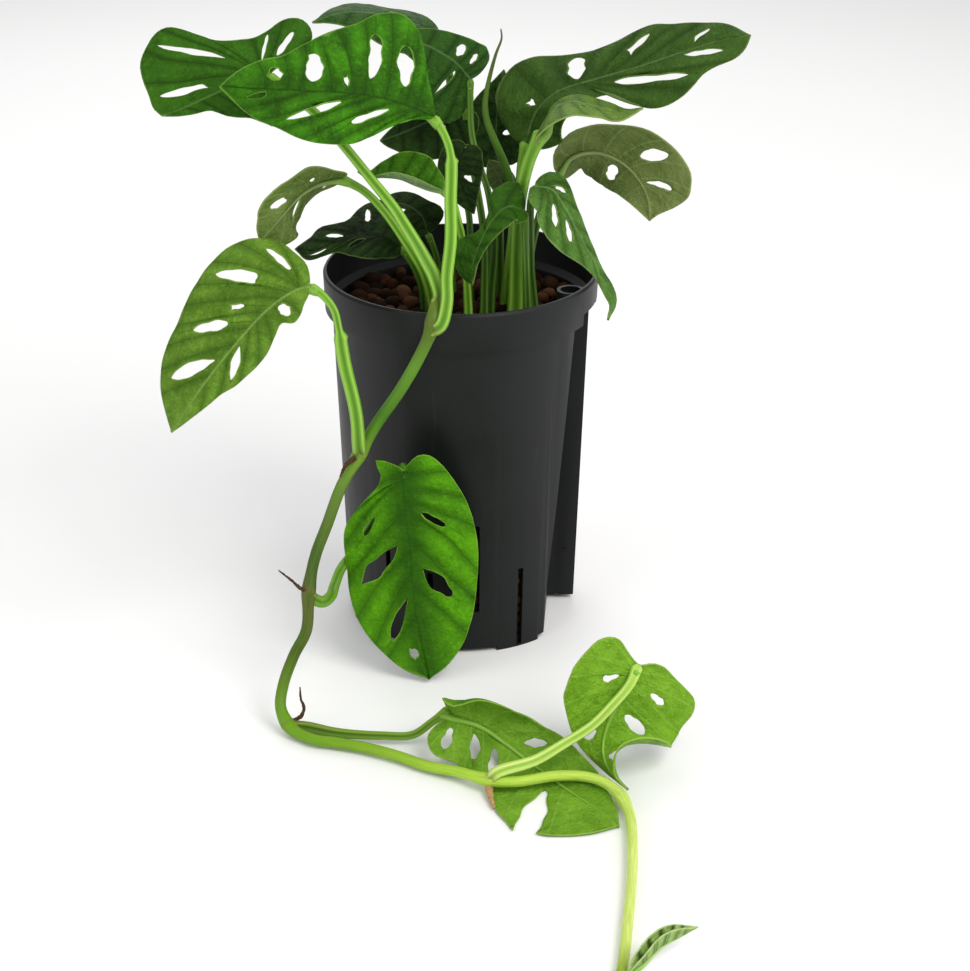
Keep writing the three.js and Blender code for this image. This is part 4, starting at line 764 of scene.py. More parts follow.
# The places of a leaf's midrib run from the joint to the tip. "up" is where its upper face looks,
# and a fold is in degrees at the midrib and at the margin: a list with one row holds all the way.
# Margins run from joint to tip too. A hole is both ends of its middle line and its width, and a
# sixth number marks one that is open at the margin. "fan" is where all side veins of a half start.
# "left_" or "right_" before a word keeps it to that half.
LEAVES = [
    {
        "name": "leaf_left_high", "slot": "leaf_bright",
        "rib": [[-12, -62, 289], [-23, -66, 295], [-35, -70, 300], [-51, -75, 304], [-67, -79, 306],
            [-87, -83, 308], [-110, -86, 310]],
        "up": [[-0.1, -0.75, 0.65], [0, -0.8, 0.6]], "left_fold": [[-5, -20]], "right_fold": [[5, 0]],
        "left_margin": [[0.02, 0.02], [0.08, 0.04], [0.18, 0.1], [0.3, 0.18], [0.41, 0.23], [0.55, 0.235],
            [0.65, 0.215], [0.75, 0.17], [0.85, 0.13], [0.93, 0.07]],
        "left_holes": [[0.22, 0.04, 0.41, 0.135, 0.035], [0.48, 0.05, 0.73, 0.14, 0.09],
            [0.74, 0.02, 0.86, 0.05, 0.035]],
        "right_margin": [[0.02, 0.06], [0.07, 0.15], [0.11, 0.26], [0.15, 0.36], [0.22, 0.42], [0.3, 0.4],
            [0.38, 0.34], [0.51, 0.28], [0.62, 0.22], [0.72, 0.16], [0.83, 0.13], [0.93, 0.07]],
        "right_holes": [[0.17, 0.08, 0.19, 0.27, 0.07], [0.34, 0.08, 0.31, 0.29, 0.1],
            [0.42, 0.02, 0.44, 0.07, 0.03], [0.6, 0.04, 0.58, 0.17, 0.2], [0.75, 0.04, 0.76, 0.1, 0.06]],
        "foot": 3.3, "neck": 2.4, "petiole": [[-9, -79.5, 190], [-6, -76, 201], [-6, -72, 212],
            [-4, -71, 231], [-4, -69, 250], [-4, -66, 272], [-7, -64, 281], [-12, -62, 289]],
    },
    {
        "name": "leaf_far_left", "slot": "leaf_dark",
        "rib": [[-92, -36, 301.7], [-100.2, -41, 301.1], [-109.3, -47, 299.3], [-119.4, -53, 296.1],
            [-130.3, -59, 292.4], [-140.3, -64, 289.9]],
        "up": [[0, -0.85, 0.5], [-0.25, -0.9, 0.35]], "right_fan": 0.05,
        "left_margin": [[-0.02, 0.1], [-0.03, 0.25], [0, 0.38], [0.08, 0.44], [0.25, 0.375], [0.33, 0.31],
            [0.43, 0.27], [0.52, 0.21], [0.6, 0.12], [0.74, 0.085], [0.88, 0.045]],
        "right_margin": [[-0.1, 0.06], [-0.25, 0.12], [-0.4, 0.16], [-0.5, 0.22], [-0.53, 0.32],
            [-0.49, 0.41], [-0.4, 0.45], [-0.28, 0.44], [-0.15, 0.385], [0, 0.35], [0.12, 0.355],
            [0.29, 0.42], [0.4, 0.53], [0.5, 0.64], [0.61, 0.69], [0.75, 0.655], [0.89, 0.585],
            [0.98, 0.49], [1.02, 0.36], [1.03, 0.2], [1.04, 0.08]],
        "right_holes": [[-0.14, 0.155, -0.37, 0.33, 0.05], [0.06, 0.2, -0.14, 0.37, 0.07],
            [0.4, 0.41, 0.8, 0.62, 0.13], [0.37, 0.125, 0.96, 0.17, 0.09]],
        "foot": 3.6, "neck": 2.3, "petiole": [[-9.5, -69, 201], [-12.4, -67, 211.2], [-15.8, -65, 217.2],
            [-20.1, -62, 224.3], [-25.4, -59, 232.5], [-31.6, -57, 242.2], [-43.3, -48, 254.4],
            [-55.4, -42, 268.1], [-67.4, -38, 281.5], [-81.6, -36, 293.8], [-92, -36, 301.7]],
    },
    {
        "name": "leaf_top_back", "slot": "leaf_bright",
        "rib": [[-12, 28, 303], [-23, 28, 311], [-35, 25, 315], [-50, 20, 319], [-62, 15, 319],
            [-73, 10, 316]],
        "up": [[0, -0.3, 0.95]], "fold": [[-10, -25]],
        "margin": [[-0.03, 0.08], [0.04, 0.22], [0.2, 0.31], [0.4, 0.32], [0.6, 0.25], [0.8, 0.13],
            [0.92, 0.05]],
        "left_holes": [[0.2, 0.09, 0.32, 0.19, 0.05], [0.45, 0.08, 0.55, 0.18, 0.06]],
        "right_holes": [[0.3, 0.09, 0.4, 0.2, 0.06]],
        "foot": 3, "neck": 2, "petiole": [[-4, 8, 146], [-5, 10, 180], [-5, 14, 220], [-4, 20, 258],
            [-5, 24, 278], [-7, 27, 293], [-12, 28, 303]],
    },
    {
        "name": "leaf_top_middle", "slot": "leaf_dark",
        "rib": [[5, 5, 289], [-2, 2, 298], [-10, 0, 304], [-19, -3, 309], [-29, -7, 311], [-38, -11, 309]],
        "up": [[0.2, -0.7, 0.7], [0.1, -0.8, 0.6]], "left_fold": [[-20, -30]],
        "left_margin": [[-0.06, 0.06], [-0.14, 0.15], [-0.19, 0.3], [-0.14, 0.44], [0, 0.47], [0.17, 0.4],
            [0.4, 0.28], [0.7, 0.15], [0.88, 0.06]],
        "left_holes": [[0.17, 0.05, 0.18, 0.34, 0.06]],
        "right_margin": [[-0.04, 0.08], [-0.07, 0.2], [-0.06, 0.32], [0.03, 0.37], [0.15, 0.32],
            [0.3, 0.26], [0.45, 0.21], [0.7, 0.12], [0.88, 0.05]],
        "right_holes": [[0.1, 0.1, 0.08, 0.24, 0.05], [0.25, 0.06, 0.22, 0.21, 0.07]],
        "foot": 3.4, "neck": 1.6, "petiole": [[14, -12, 146], [15, -12, 180], [17, -12, 210],
            [14, -10, 235], [10, -6, 247], [6, 0, 261], [5, 4, 279], [5, 5, 289]],
    },
    {
        "name": "leaf_right_high", "slot": "leaf_dark",
        "rib": [[33, -5, 260], [38, -8, 276], [48, -12, 287], [68, -16, 295], [88, -20, 302],
            [107, -22, 309], [126, -22, 315], [141, -20, 317]],
        "up": [[-0.2, -0.65, 0.75], [0, -0.65, 0.75]], "right_fold": [[0, -20]],
        "left_margin": [[-0.02, 0.05], [0, 0.1], [0.05, 0.15], [0.1, 0.2], [0.15, 0.22], [0.2, 0.2],
            [0.27, 0.155], [0.36, 0.13], [0.45, 0.13], [0.55, 0.15], [0.65, 0.16], [0.73, 0.135],
            [0.85, 0.095], [0.94, 0.06]],
        "left_holes": [[0.15, 0.015, 0.14, 0.05, 0.03], [0.34, 0.015, 0.34, 0.115, 0.09],
            [0.55, 0.075, 0.66, 0.13, 0.06], [0.77, 0.05, 0.85, 0.075, 0.03]],
        "right_margin": [[0, 0.06], [0.06, 0.14], [0.15, 0.16], [0.25, 0.12], [0.35, 0.085], [0.43, 0.078],
            [0.49, 0.1], [0.54, 0.145], [0.585, 0.18], [0.64, 0.187], [0.7, 0.172], [0.75, 0.143],
            [0.79, 0.115], [0.84, 0.098], [0.92, 0.085], [0.97, 0.05]],
        "right_holes": [[0.485, 0.045, 0.77, 0.1, 0.09], [0.7, 0.02, 0.885, 0.05, 0.05]],
        "foot": 4.4, "neck": 2.6, "petiole": [[22, -6, 146], [24, -6, 180], [27, -5, 213], [30, -4, 234],
            [31, -4, 247], [33, -5, 260]],
    },
    {
        "name": "leaf_right_arched", "slot": "leaf_bright",
        "rib": [[40, -34, 273], [44, -37, 284], [54, -40, 290], [67, -43, 288], [79, -46, 286],
            [88, -48, 289]],
        "up": [[-0.4, -0.1, 0.95], [0, 0, 1]],
        "left_margin": [[-0.05, 0.08], [-0.02, 0.16], [0.1, 0.17], [0.34, 0.15], [0.49, 0.155],
            [0.64, 0.17], [0.8, 0.13], [0.93, 0.06]],
        "right_margin": [[-0.03, 0.1], [0.04, 0.3], [0.2, 0.4], [0.37, 0.37], [0.53, 0.25], [0.71, 0.2],
            [0.83, 0.21], [0.93, 0.12]],
        "right_holes": [[0.47, 0.03, 0.53, 0.08, 0.06]],
        "foot": 5, "neck": 3.2, "petiole": [[27, -20, 146], [28, -20, 180], [28.5, -20, 213],
            [30, -23, 237], [34, -28, 257], [40, -34, 273]],
    },
    {
        "name": "leaf_right_low", "slot": "leaf_olive",
        "rib": [[49, -5, 243], [55, -5, 252], [66, -5, 255], [78, -7, 252], [88, -10, 244], [94, -13, 233],
            [95, -16, 222]],
        "up": [[-0.5, 0.7, 0.5], [0.4, 0.8, 0.5]],
        "left_margin": [[-0.03, 0.07], [0, 0.13], [0.08, 0.18], [0.2, 0.26], [0.33, 0.31], [0.48, 0.3],
            [0.61, 0.27], [0.77, 0.2], [0.9, 0.12]],
        "left_holes": [[0.5, 0.07, 0.52, 0.22, 0.11]],
        "right_margin": [[0.03, 0.06], [0.09, 0.12], [0.15, 0.19], [0.21, 0.25], [0.3, 0.275], [0.41, 0.3],
            [0.52, 0.36], [0.62, 0.39], [0.72, 0.4], [0.8, 0.39], [0.86, 0.33], [0.91, 0.2], [0.96, 0.06]],
        "right_holes": [[0.32, 0.02, 0.47, 0.07, 0.07], [0.6, 0.13, 0.68, 0.33, 0.07],
            [0.74, 0.02, 0.83, 0.2, 0.07]],
        "foot": 3, "neck": 2, "petiole": [[32, 4, 146], [34, 2, 175], [36, 0, 201], [40, -2, 220],
            [45, -4, 234], [49, -5, 243]],
    },
    {
        "name": "leaf_over_rim", "slot": "leaf_dark",
        "rib": [[37, -32, 245], [45, -34, 244], [52, -34, 234], [59, -33, 220], [66, -31, 206],
            [72, -30, 193], [76, -30, 183], [74, -32, 175]],
        "up": [[0.1, -0.5, 0.85], [0.7, -0.6, 0.4], [0.8, -0.6, 0.2]],
        "left_margin": [[0, 0.05], [0.03, 0.1], [0.08, 0.135], [0.16, 0.12], [0.26, 0.095], [0.37, 0.08],
            [0.5, 0.065], [0.6, 0.05], [0.7, 0.045], [0.8, 0.06], [0.87, 0.06], [0.94, 0.03]],
        "left_holes": [[0.08, 0.02, 0.16, 0.06, 0.04]],
        "right_margin": [[-0.02, 0.08], [0.05, 0.18], [0.14, 0.22], [0.23, 0.235], [0.34, 0.22],
            [0.45, 0.165], [0.56, 0.1], [0.7, 0.045], [0.85, 0.035], [0.95, 0.015]],
        "right_holes": [[0.16, 0.06, 0.27, 0.14, 0.05], [0.3, 0.05, 0.41, 0.09, 0.06]],
        "foot": 2.6, "neck": 1.9, "petiole": [[38.5, -24, 146], [38, -24.5, 172], [35.5, -27, 200],
            [35, -29, 221], [35, -31, 236], [37, -32, 245]],
    },
    {
        "name": "leaf_crown_curled", "slot": "leaf_bright",
        "rib": [[31.6, -38, 234.4], [23.7, -42, 237.8], [16.3, -47, 232.8], [10.9, -51, 223.8],
            [7, -54, 213.6], [6.5, -56, 202.4]],
        "up": [[-0.3, -0.6, 0.7], [-0.6, -0.75, 0.3]],
        "left_margin": [[-0.03, 0.05], [0, 0.12], [0.12, 0.17], [0.3, 0.18], [0.45, 0.14], [0.62, 0.085],
            [0.78, 0.055], [0.91, 0.025]],
        "right_margin": [[-0.02, 0.08], [-0.02, 0.2], [0.06, 0.26], [0.16, 0.26], [0.25, 0.17],
            [0.34, 0.08], [0.44, 0.055], [0.54, 0.09], [0.61, 0.18], [0.68, 0.25], [0.78, 0.225],
            [0.88, 0.18], [0.96, 0.1]],
        "foot": 2.4, "neck": 1.7, "petiole": [[34, -31.5, 146], [34, -33, 175], [33, -35, 204],
            [32.5, -36, 218], [32.3, -37, 227], [31.6, -38, 234.4]],
    },
    {
        "name": "leaf_left_cupped", "slot": "leaf_bright",
        "rib": [[-8, -43, 247], [-15, -43, 248], [-22, -42, 250], [-29, -40, 252], [-37, -38, 252],
            [-44, -36, 251], [-50, -34, 253]],
        "up": [[0, -0.2, 1]], "left_fold": [[10, 100]], "right_fold": [[30, 80], [30, 60]],
        "left_margin": [[0.02, 0.1], [0.12, 0.2], [0.3, 0.27], [0.5, 0.25], [0.7, 0.18], [0.88, 0.08]],
        "right_margin": [[0, 0.12], [0.1, 0.25], [0.28, 0.34], [0.48, 0.32], [0.68, 0.2], [0.88, 0.07]],
        "foot": 2.8, "neck": 1.9, "petiole": [[4, -24, 146], [4, -25, 175], [2, -30, 211], [-1, -36, 229],
            [-4, -40, 241], [-8, -43, 247]],
    },
    {
        "name": "leaf_crown_dark", "slot": "leaf_dark",
        "rib": [[3, -16, 261], [0, -20, 255], [0, -23, 247], [3, -25, 238], [7, -26, 229]],
        "up": [[-0.3, -0.9, 0.3]],
        "left_margin": [[-0.05, 0.1], [0, 0.24], [0.2, 0.34], [0.45, 0.34], [0.7, 0.22], [0.9, 0.08]],
        "left_holes": [[0.45, 0.06, 0.55, 0.2, 0.12]],
        "right_margin": [[-0.05, 0.1], [0, 0.22], [0.2, 0.3], [0.45, 0.3], [0.7, 0.2], [0.9, 0.08]],
        "foot": 2.8, "neck": 1.8, "petiole": [[11, -18, 146], [12, -19, 180], [12, -18, 213], [9, -15, 235],
            [6, -13, 250], [3, -16, 261]],
    },
    {
        "name": "leaf_crown_back", "slot": "leaf_dark",
        "rib": [[19, 22, 241], [18, 24, 254], [19, 26, 270], [22, 27, 288]],
        "up": [[0.1, -0.9, 0.2]],
        "margin": [[-0.05, 0.12], [0.03, 0.28], [0.22, 0.38], [0.45, 0.36], [0.7, 0.22], [0.88, 0.08]],
        "right_holes": [[0.3, 0.07, 0.36, 0.24, 0.07]],
        "foot": 3, "neck": 2, "petiole": [[20, 8, 146], [20, 10, 175], [20, 14, 207], [19, 18, 225],
            [19, 22, 241]],
    },
    {
        "name": "leaf_crown_left", "slot": "leaf_dark",
        "rib": [[2.8, 15, 271.1], [-5.3, 16, 268.7], [-15.5, 17, 264.2], [-26.7, 17, 259],
            [-34.9, 16, 256.1], [-40.9, 15, 254.3]],
        "up": [[0, -0.9, 0.2]],
        "left_margin": [[-0.08, 0.05], [-0.11, 0.14], [-0.07, 0.25], [0.03, 0.35], [0.14, 0.41],
            [0.38, 0.43], [0.6, 0.38], [0.76, 0.27], [0.88, 0.15], [0.96, 0.07]],
        "left_holes": [[0.3, 0.09, 0.36, 0.26, 0.06]],
        "right_margin": [[-0.1, 0.05], [-0.11, 0.14], [-0.07, 0.23], [0.06, 0.27], [0.22, 0.24],
            [0.45, 0.19], [0.73, 0.12], [0.88, 0.07]],
        "foot": 2.4, "neck": 1.6, "petiole": [[5, 2, 146], [4.7, 5, 190], [4.2, 8, 217.1], [1.7, 11, 226.8],
            [0.2, 12.5, 236.8], [0.7, 14, 249.4], [2.3, 15, 262.2], [2.8, 15, 271.1]],
    },
    {
        "name": "leaf_crown_olive", "slot": "leaf_olive",
        "rib": [[24.6, 9, 225.8], [21.6, 9, 233.3], [18, 9, 240.2], [14.4, 9, 246]],
        "up": [[0, 0.8, 0.3]],
        "left_margin": [[-0.03, 0.12], [0.1, 0.26], [0.4, 0.32], [0.65, 0.28], [0.88, 0.14]],
        "right_margin": [[-0.03, 0.1], [0.1, 0.22], [0.4, 0.29], [0.65, 0.27], [0.88, 0.14]],
        "foot": 2.2, "neck": 1.5, "petiole": [[13, 2, 146], [13, 2, 180], [15, 4, 203], [20, 8, 216],
            [24.6, 9, 225.8]],
    },
    {
        "name": "leaf_left_arched", "slot": "leaf_olive",
        "rib": [[-58, -38, 251], [-64, -42, 251.5], [-71, -47, 250.5], [-78, -53, 247], [-84.5, -60, 241],
            [-91, -64, 233.5], [-96, -67, 228.5]],
        "up": [[-0.1, 0.6, 0.8], [-0.6, 0.75, 0.3]],
        "left_margin": [[-0.03, 0.08], [0.04, 0.15], [0.15, 0.2], [0.27, 0.3], [0.37, 0.37], [0.5, 0.34],
            [0.67, 0.34], [0.81, 0.28], [0.94, 0.16]],
        "left_holes": [[0.3, 0.06, 0.33, 0.15, 0.05], [0.6, 0.08, 0.72, 0.2, 0.09]],
        "right_margin": [[-0.05, 0.15], [0.05, 0.3], [0.2, 0.38], [0.4, 0.4], [0.6, 0.37], [0.8, 0.34],
            [0.92, 0.2]],
        "right_holes": [[0.08, 0.14, 0.05, 0.3, 0.08], [0.4, 0.07, 0.6, 0.25, 0.17]],
        "foot": 2.8, "neck": 2, "petiole": [[-14, -14, 146], [-14, -17, 172], [-18, -26, 196],
            [-26, -32, 214], [-38, -35, 234], [-47, -36, 244], [-58, -38, 251]],
    },
    {
        "name": "leaf_left_rim_front", "slot": "leaf_dark",
        "rib": [[-30, -22, 210], [-38, -22, 215], [-50, -22, 216], [-63, -22, 212], [-74, -22, 208],
            [-83, -22, 209]],
        "up": [[0, -0.5, 0.85]],
        "left_margin": [[-0.02, 0.07], [0.01, 0.14], [0.12, 0.22], [0.26, 0.27], [0.4, 0.25], [0.5, 0.2],
            [0.62, 0.11], [0.77, 0.09], [0.89, 0.1], [0.96, 0.04]],
        "left_holes": [[0.35, 0.05, 0.5, 0.1, 0.06], [0.66, 0.02, 0.88, 0.06, 0.03]],
        "right_margin": [[0, 0.05], [0.06, 0.13], [0.16, 0.28], [0.27, 0.4], [0.38, 0.33], [0.47, 0.21],
            [0.6, 0.22], [0.73, 0.235], [0.87, 0.16], [0.96, 0.06]],
        "right_holes": [[0.34, 0.2, 0.33, 0.33, 0.08], [0.52, 0.04, 0.69, 0.12, 0.045]],
        "foot": 2.2, "neck": 1.7, "petiole": [[-19, -4, 146], [-19, -8, 172], [-20, -13, 186],
            [-24, -18, 199], [-30, -22, 210]],
    },
    {
        "name": "leaf_left_rim_back", "slot": "leaf_dark",
        "rib": [[-17, 6, 208], [-20, 6, 217], [-28, 6, 223], [-37, 5, 224], [-47, 4, 221]],
        "up": [[0.2, -0.6, 0.8], [0, -0.6, 0.8]],
        "left_margin": [[0, 0.1], [0.12, 0.24], [0.33, 0.33], [0.55, 0.32], [0.84, 0.19], [0.95, 0.07]],
        "left_holes": [[0.48, 0.07, 0.62, 0.16, 0.08]],
        "right_margin": [[0, 0.08], [0.1, 0.25], [0.18, 0.32], [0.3, 0.24], [0.46, 0.22], [0.62, 0.17],
            [0.82, 0.08]],
        "foot": 2.1, "neck": 1.6, "petiole": [[-12, 10, 146], [-12, 10, 187], [-13, 8, 196], [-17, 6, 208]],
    },
    {
        "name": "leaf_hanging_left", "slot": "leaf_bright",
        "rib": [[-71, -92, 215], [-79, -95, 213], [-92, -98, 204], [-105, -100, 190], [-121, -101, 170],
            [-130, -101, 157], [-139, -100, 143]],
        "up": [[-0.3, -0.7, 0.65], [-0.5, -0.8, 0.3]], "left_fold": [[-35, -75], [-30, -60]],
        "left_margin": [[0.01, 0.03], [0.06, 0.08], [0.11, 0.112], [0.17, 0.125], [0.225, 0.09],
            [0.29, 0.11], [0.36, 0.132], [0.44, 0.145], [0.54, 0.135], [0.62, 0.122], [0.7, 0.092],
            [0.8, 0.067], [0.9, 0.035]],
        "left_holes": [[0.17, 0.014, 0.165, 0.085, 0.07], [0.42, 0.012, 0.615, 0.09, 0.065]],
        "right_margin": [[-0.02, 0.05], [-0.03, 0.12], [0, 0.2], [0.05, 0.28], [0.12, 0.36], [0.2, 0.39],
            [0.3, 0.39], [0.4, 0.375], [0.5, 0.35], [0.61, 0.31], [0.72, 0.28], [0.82, 0.23], [0.91, 0.15],
            [0.97, 0.06]],
        "right_holes": [[0.045, 0.12, 0.09, 0.27, 0.045], [0.2, 0.165, 0.32, 0.345, 0.1],
            [0.3, 0.1, 0.35, 0.14, 0.03], [0.41, 0.1, 0.56, 0.22, 0.05], [0.56, 0.02, 0.81, 0.165, 0.08]],
        "foot": 3.6, "neck": 2.3, "petiole": [[-50, -78, 126], [-51, -80.5, 145], [-56, -83, 173],
            [-58, -86, 191], [-60, -89, 202], [-65, -91, 210], [-71, -92, 215]],
    },
    {
        "name": "leaf_hanging_front", "slot": "leaf_bright",
        "rib": [[-28, -80, 114], [-28, -80, 99], [-27, -80, 85], [-25, -81, 68], [-24, -85, 49],
            [-21, -90, 29], [-16, -93, 3]],
        "up": [[0, -0.9, 0.45], [0, -1, 0.1]], "left_fold": [[-10, -15]], "right_fold": [[-10, -20]],
        "left_margin": [[-0.02, 0.02], [-0.06, 0.06], [-0.06, 0.11], [-0.02, 0.16], [0.08, 0.23],
            [0.23, 0.285], [0.38, 0.305], [0.52, 0.3], [0.65, 0.28], [0.75, 0.25], [0.88, 0.18],
            [0.96, 0.09]],
        "left_holes": [[0.22, 0.07, 0.31, 0.17, 0.03], [0.47, 0.05, 0.63, 0.17, 0.07]],
        "right_margin": [[-0.01, 0.02], [-0.025, 0.06], [-0.035, 0.1], [-0.03, 0.135], [0, 0.115],
            [0.04, 0.1], [0.09, 0.115], [0.15, 0.17], [0.22, 0.24], [0.29, 0.29], [0.38, 0.305],
            [0.52, 0.3], [0.63, 0.29], [0.73, 0.26], [0.85, 0.19], [0.95, 0.1]],
        "right_holes": [[0.23, 0.14, 0.31, 0.2, 0.025], [0.37, 0.05, 0.55, 0.23, 0.08],
            [0.6, 0.02, 0.8, 0.13, 0.06], [0.86, 0.02, 0.87, 0.06, 0.05]],
        "foot": 3, "neck": 2.2, "petiole": [[-74, -107, 57], [-69, -105, 53], [-65, -96, 51.5],
            [-63.5, -84, 52], [-60.5, -73, 56], [-52, -69, 66], [-40, -69, 87], [-32, -71, 105],
            [-28.5, -78, 114], [-28, -80, 114]],
    },
    {
        "name": "leaf_trailing_first", "slot": "leaf_bright",
        "rib": [[-5, -158.5, 18], [10, -161, 14], [21, -165.5, 8], [33, -175, 2.6], [42.5, -187, 1.5],
            [52, -200, 1.3], [66, -217.5, 1.3], [74, -229.5, 1.3]],
        "up": [[0.3, 0.3, -0.9], [0, 0, -1], [0, 0, -1]],
        "right_fold": [[-60, -240], [-25, -190], [-8, -100], [0, -25], [0, -25]],
        "left_margin": [[-0.03, 0.04], [-0.06, 0.12], [-0.02, 0.2], [0.1, 0.23], [0.22, 0.235],
            [0.34, 0.21], [0.42, 0.22], [0.54, 0.3], [0.66, 0.34], [0.78, 0.34], [0.9, 0.27], [0.98, 0.14]],
        "left_holes": [[0.02, 0.05, 0.02, 0.17, 0.04], [0.12, 0.04, 0.2, 0.16, 0.08],
            [0.24, 0.04, 0.35, 0.17, 0.08], [0.6, 0.06, 0.7, 0.2, 0.12, True]],
        "right_margin": [[-0.04, 0.08], [-0.04, 0.17], [0.04, 0.21], [0.14, 0.19], [0.26, 0.18],
            [0.36, 0.17], [0.46, 0.18], [0.58, 0.17], [0.68, 0.16], [0.78, 0.12], [0.89, 0.07]],
        "right_holes": [[0.33, 0.06, 0.4, 0.11, 0.045]],
        "foot": 3, "neck": 2, "petiole": [[-76, -144, 4], [-60, -150.5, 4.5], [-38, -154, 5],
            [-23, -155, 6], [-13, -156, 14], [-5, -158, 22]],
    },
    {
        "name": "leaf_trailing_second", "slot": "leaf_young",
        "rib": [[85, -170, 53], [79, -172, 41], [73, -174, 30], [69, -179, 18], [70, -186, 10],
            [75, -194, 4.5], [79.5, -201, 3]],
        "up": [[0.1, 0.8, 0.5]],
        "left_margin": [[-0.01, 0.03], [-0.06, 0.12], [-0.12, 0.22], [-0.11, 0.29], [-0.06, 0.35],
            [0.05, 0.39], [0.23, 0.42], [0.39, 0.37], [0.5, 0.28], [0.64, 0.15], [0.8, 0.08], [0.93, 0.04]],
        "left_holes": [[0.11, 0.09, 0.19, 0.18, 0.08], [0.53, 0.06, 0.57, 0.14, 0.06]],
        "right_margin": [[0, 0.03], [-0.04, 0.08], [-0.05, 0.18], [-0.01, 0.28], [0.04, 0.4], [0.09, 0.5],
            [0.16, 0.54], [0.28, 0.54], [0.45, 0.5], [0.6, 0.44], [0.76, 0.3], [0.9, 0.13]],
        "right_holes": [[0.16, 0.19, 0.2, 0.32, 0.045], [0.37, 0.1, 0.46, 0.28, 0.09],
            [0.62, 0.03, 0.78, 0.14, 0.09]],
        "foot": 3, "neck": 2.3, "petiole": [[18, -200, 12], [36, -194, 15], [49, -188, 20], [63, -184, 28],
            [72, -180, 36], [81, -176, 46], [85, -170, 53]],
    },
    {
        "name": "leaf_trailing_young", "slot": "leaf_young",
        "rib": [[72, -350, 6], [78, -346, 8], [86, -337, 10], [95, -328, 9], [103, -320, 8]],
        "up": [[-0.2, -0.3, 0.9]], "fold": [[60, 120]],
        "margin": [[0.05, 0.08], [0.2, 0.17], [0.45, 0.19], [0.7, 0.14], [0.9, 0.05]],
    },
]


# The upper face's light, deep and darkest green, then the lower face's light and deep, as sRGB. The darkest
# green also paints shade in creases, the midrib's valley and sunk veins.
GREENS = {
    "leaf_left_high": [(70, 144, 12), (42, 86, 8), (26, 58, 4), (104, 150, 58), (72, 118, 40)],
    "leaf_far_left": [(56, 106, 16), (40, 82, 8), (26, 56, 4), (92, 124, 62), (66, 98, 40)],
    "leaf_top_back": [(52, 92, 28), (38, 74, 18), (22, 48, 10), (84, 112, 56), (60, 88, 38)],
    "leaf_top_middle": [(52, 92, 28), (38, 74, 18), (22, 48, 10), (84, 112, 56), (60, 88, 38)],
    "leaf_right_high": [(66, 98, 34), (50, 80, 24), (34, 58, 14), (96, 120, 64), (70, 96, 42)],
    "leaf_right_arched": [(104, 134, 52), (78, 112, 30), (54, 84, 18), (122, 146, 74), (92, 122, 50)],
    "leaf_right_low": [(110, 126, 66), (90, 108, 50), (62, 82, 32), (118, 134, 74), (88, 108, 50)],
    "leaf_over_rim": [(92, 134, 58), (66, 104, 32), (42, 70, 20), (104, 134, 70), (76, 108, 46)],
    "leaf_crown_curled": [(54, 98, 20), (42, 82, 8), (24, 54, 4), (86, 116, 56), (62, 92, 34)],
    "leaf_crown_dark": [(34, 60, 16), (22, 42, 8), (12, 26, 4), (60, 84, 36), (40, 62, 22)],
    "leaf_crown_back": [(44, 78, 24), (30, 58, 14), (18, 38, 8), (72, 98, 46), (50, 74, 30)],
    "leaf_crown_left": [(38, 66, 18), (24, 46, 10), (14, 28, 5), (64, 88, 40), (44, 66, 24)],
    "leaf_crown_olive": [(84, 104, 52), (62, 82, 34), (40, 58, 20), (92, 112, 60), (68, 88, 42)],
    "leaf_left_cupped": [(74, 126, 22), (56, 108, 10), (34, 72, 6), (136, 160, 116), (114, 142, 92)],
    "leaf_left_arched": [(104, 132, 44), (70, 98, 20), (44, 68, 10), (116, 138, 72), (84, 108, 42)],
    "leaf_left_rim_front": [(34, 64, 10), (16, 34, 4), (8, 18, 2), (84, 104, 68), (52, 72, 34)],
    "leaf_left_rim_back": [(36, 62, 14), (22, 42, 8), (12, 24, 4), (84, 104, 68), (52, 72, 34)],
    "leaf_hanging_left": [(110, 150, 48), (80, 118, 28), (50, 84, 14), (122, 156, 70), (90, 124, 50)],
    "leaf_hanging_front": [(88, 158, 4), (66, 126, 4), (32, 76, 2), (104, 150, 58), (72, 118, 40)],
    "leaf_trailing_first": [(110, 160, 36), (84, 134, 28), (54, 98, 16), (124, 172, 48), (92, 138, 30)],
    "leaf_trailing_second": [(120, 172, 40), (98, 146, 24), (64, 106, 12), (132, 182, 48), (102, 150, 30)],
    "leaf_trailing_young": [(176, 206, 124), (140, 176, 88), (66, 98, 36), (172, 202, 122), (128, 164, 78)],
}
# painted shade in the valley along the midrib: how strong, per leaf
VALLEY_SHADES = {"leaf_hanging_front": 0.8, "leaf_left_high": 0.45, "leaf_trailing_first": 0.3}  # dark middles
# painted shade in the creases over the side veins: how dark, per leaf
CREASE_SHADES = {"leaf_trailing_young": 0.95}  # how dark the furrows over the side veins are
DARK_RIBS = ("leaf_hanging_front", "leaf_left_high", "leaf_left_rim_front", "leaf_crown_dark")
DARK_JOINT = "leaf_hanging_front"
STALK_END = (122, 172, 58)
UPPER_PALE, LOWER_PALE, MARGIN_PALE = (235, 235, 235), (210, 210, 210), (196, 200, 140)


def mixed(first, second, share):
    """A colour between two others."""
    return tuple(round(lerp(one, other, share)) for one, other in zip(first, second))


def brighter(tone, factor):
    return tuple(min(255, round(channel * factor)) for channel in tone)


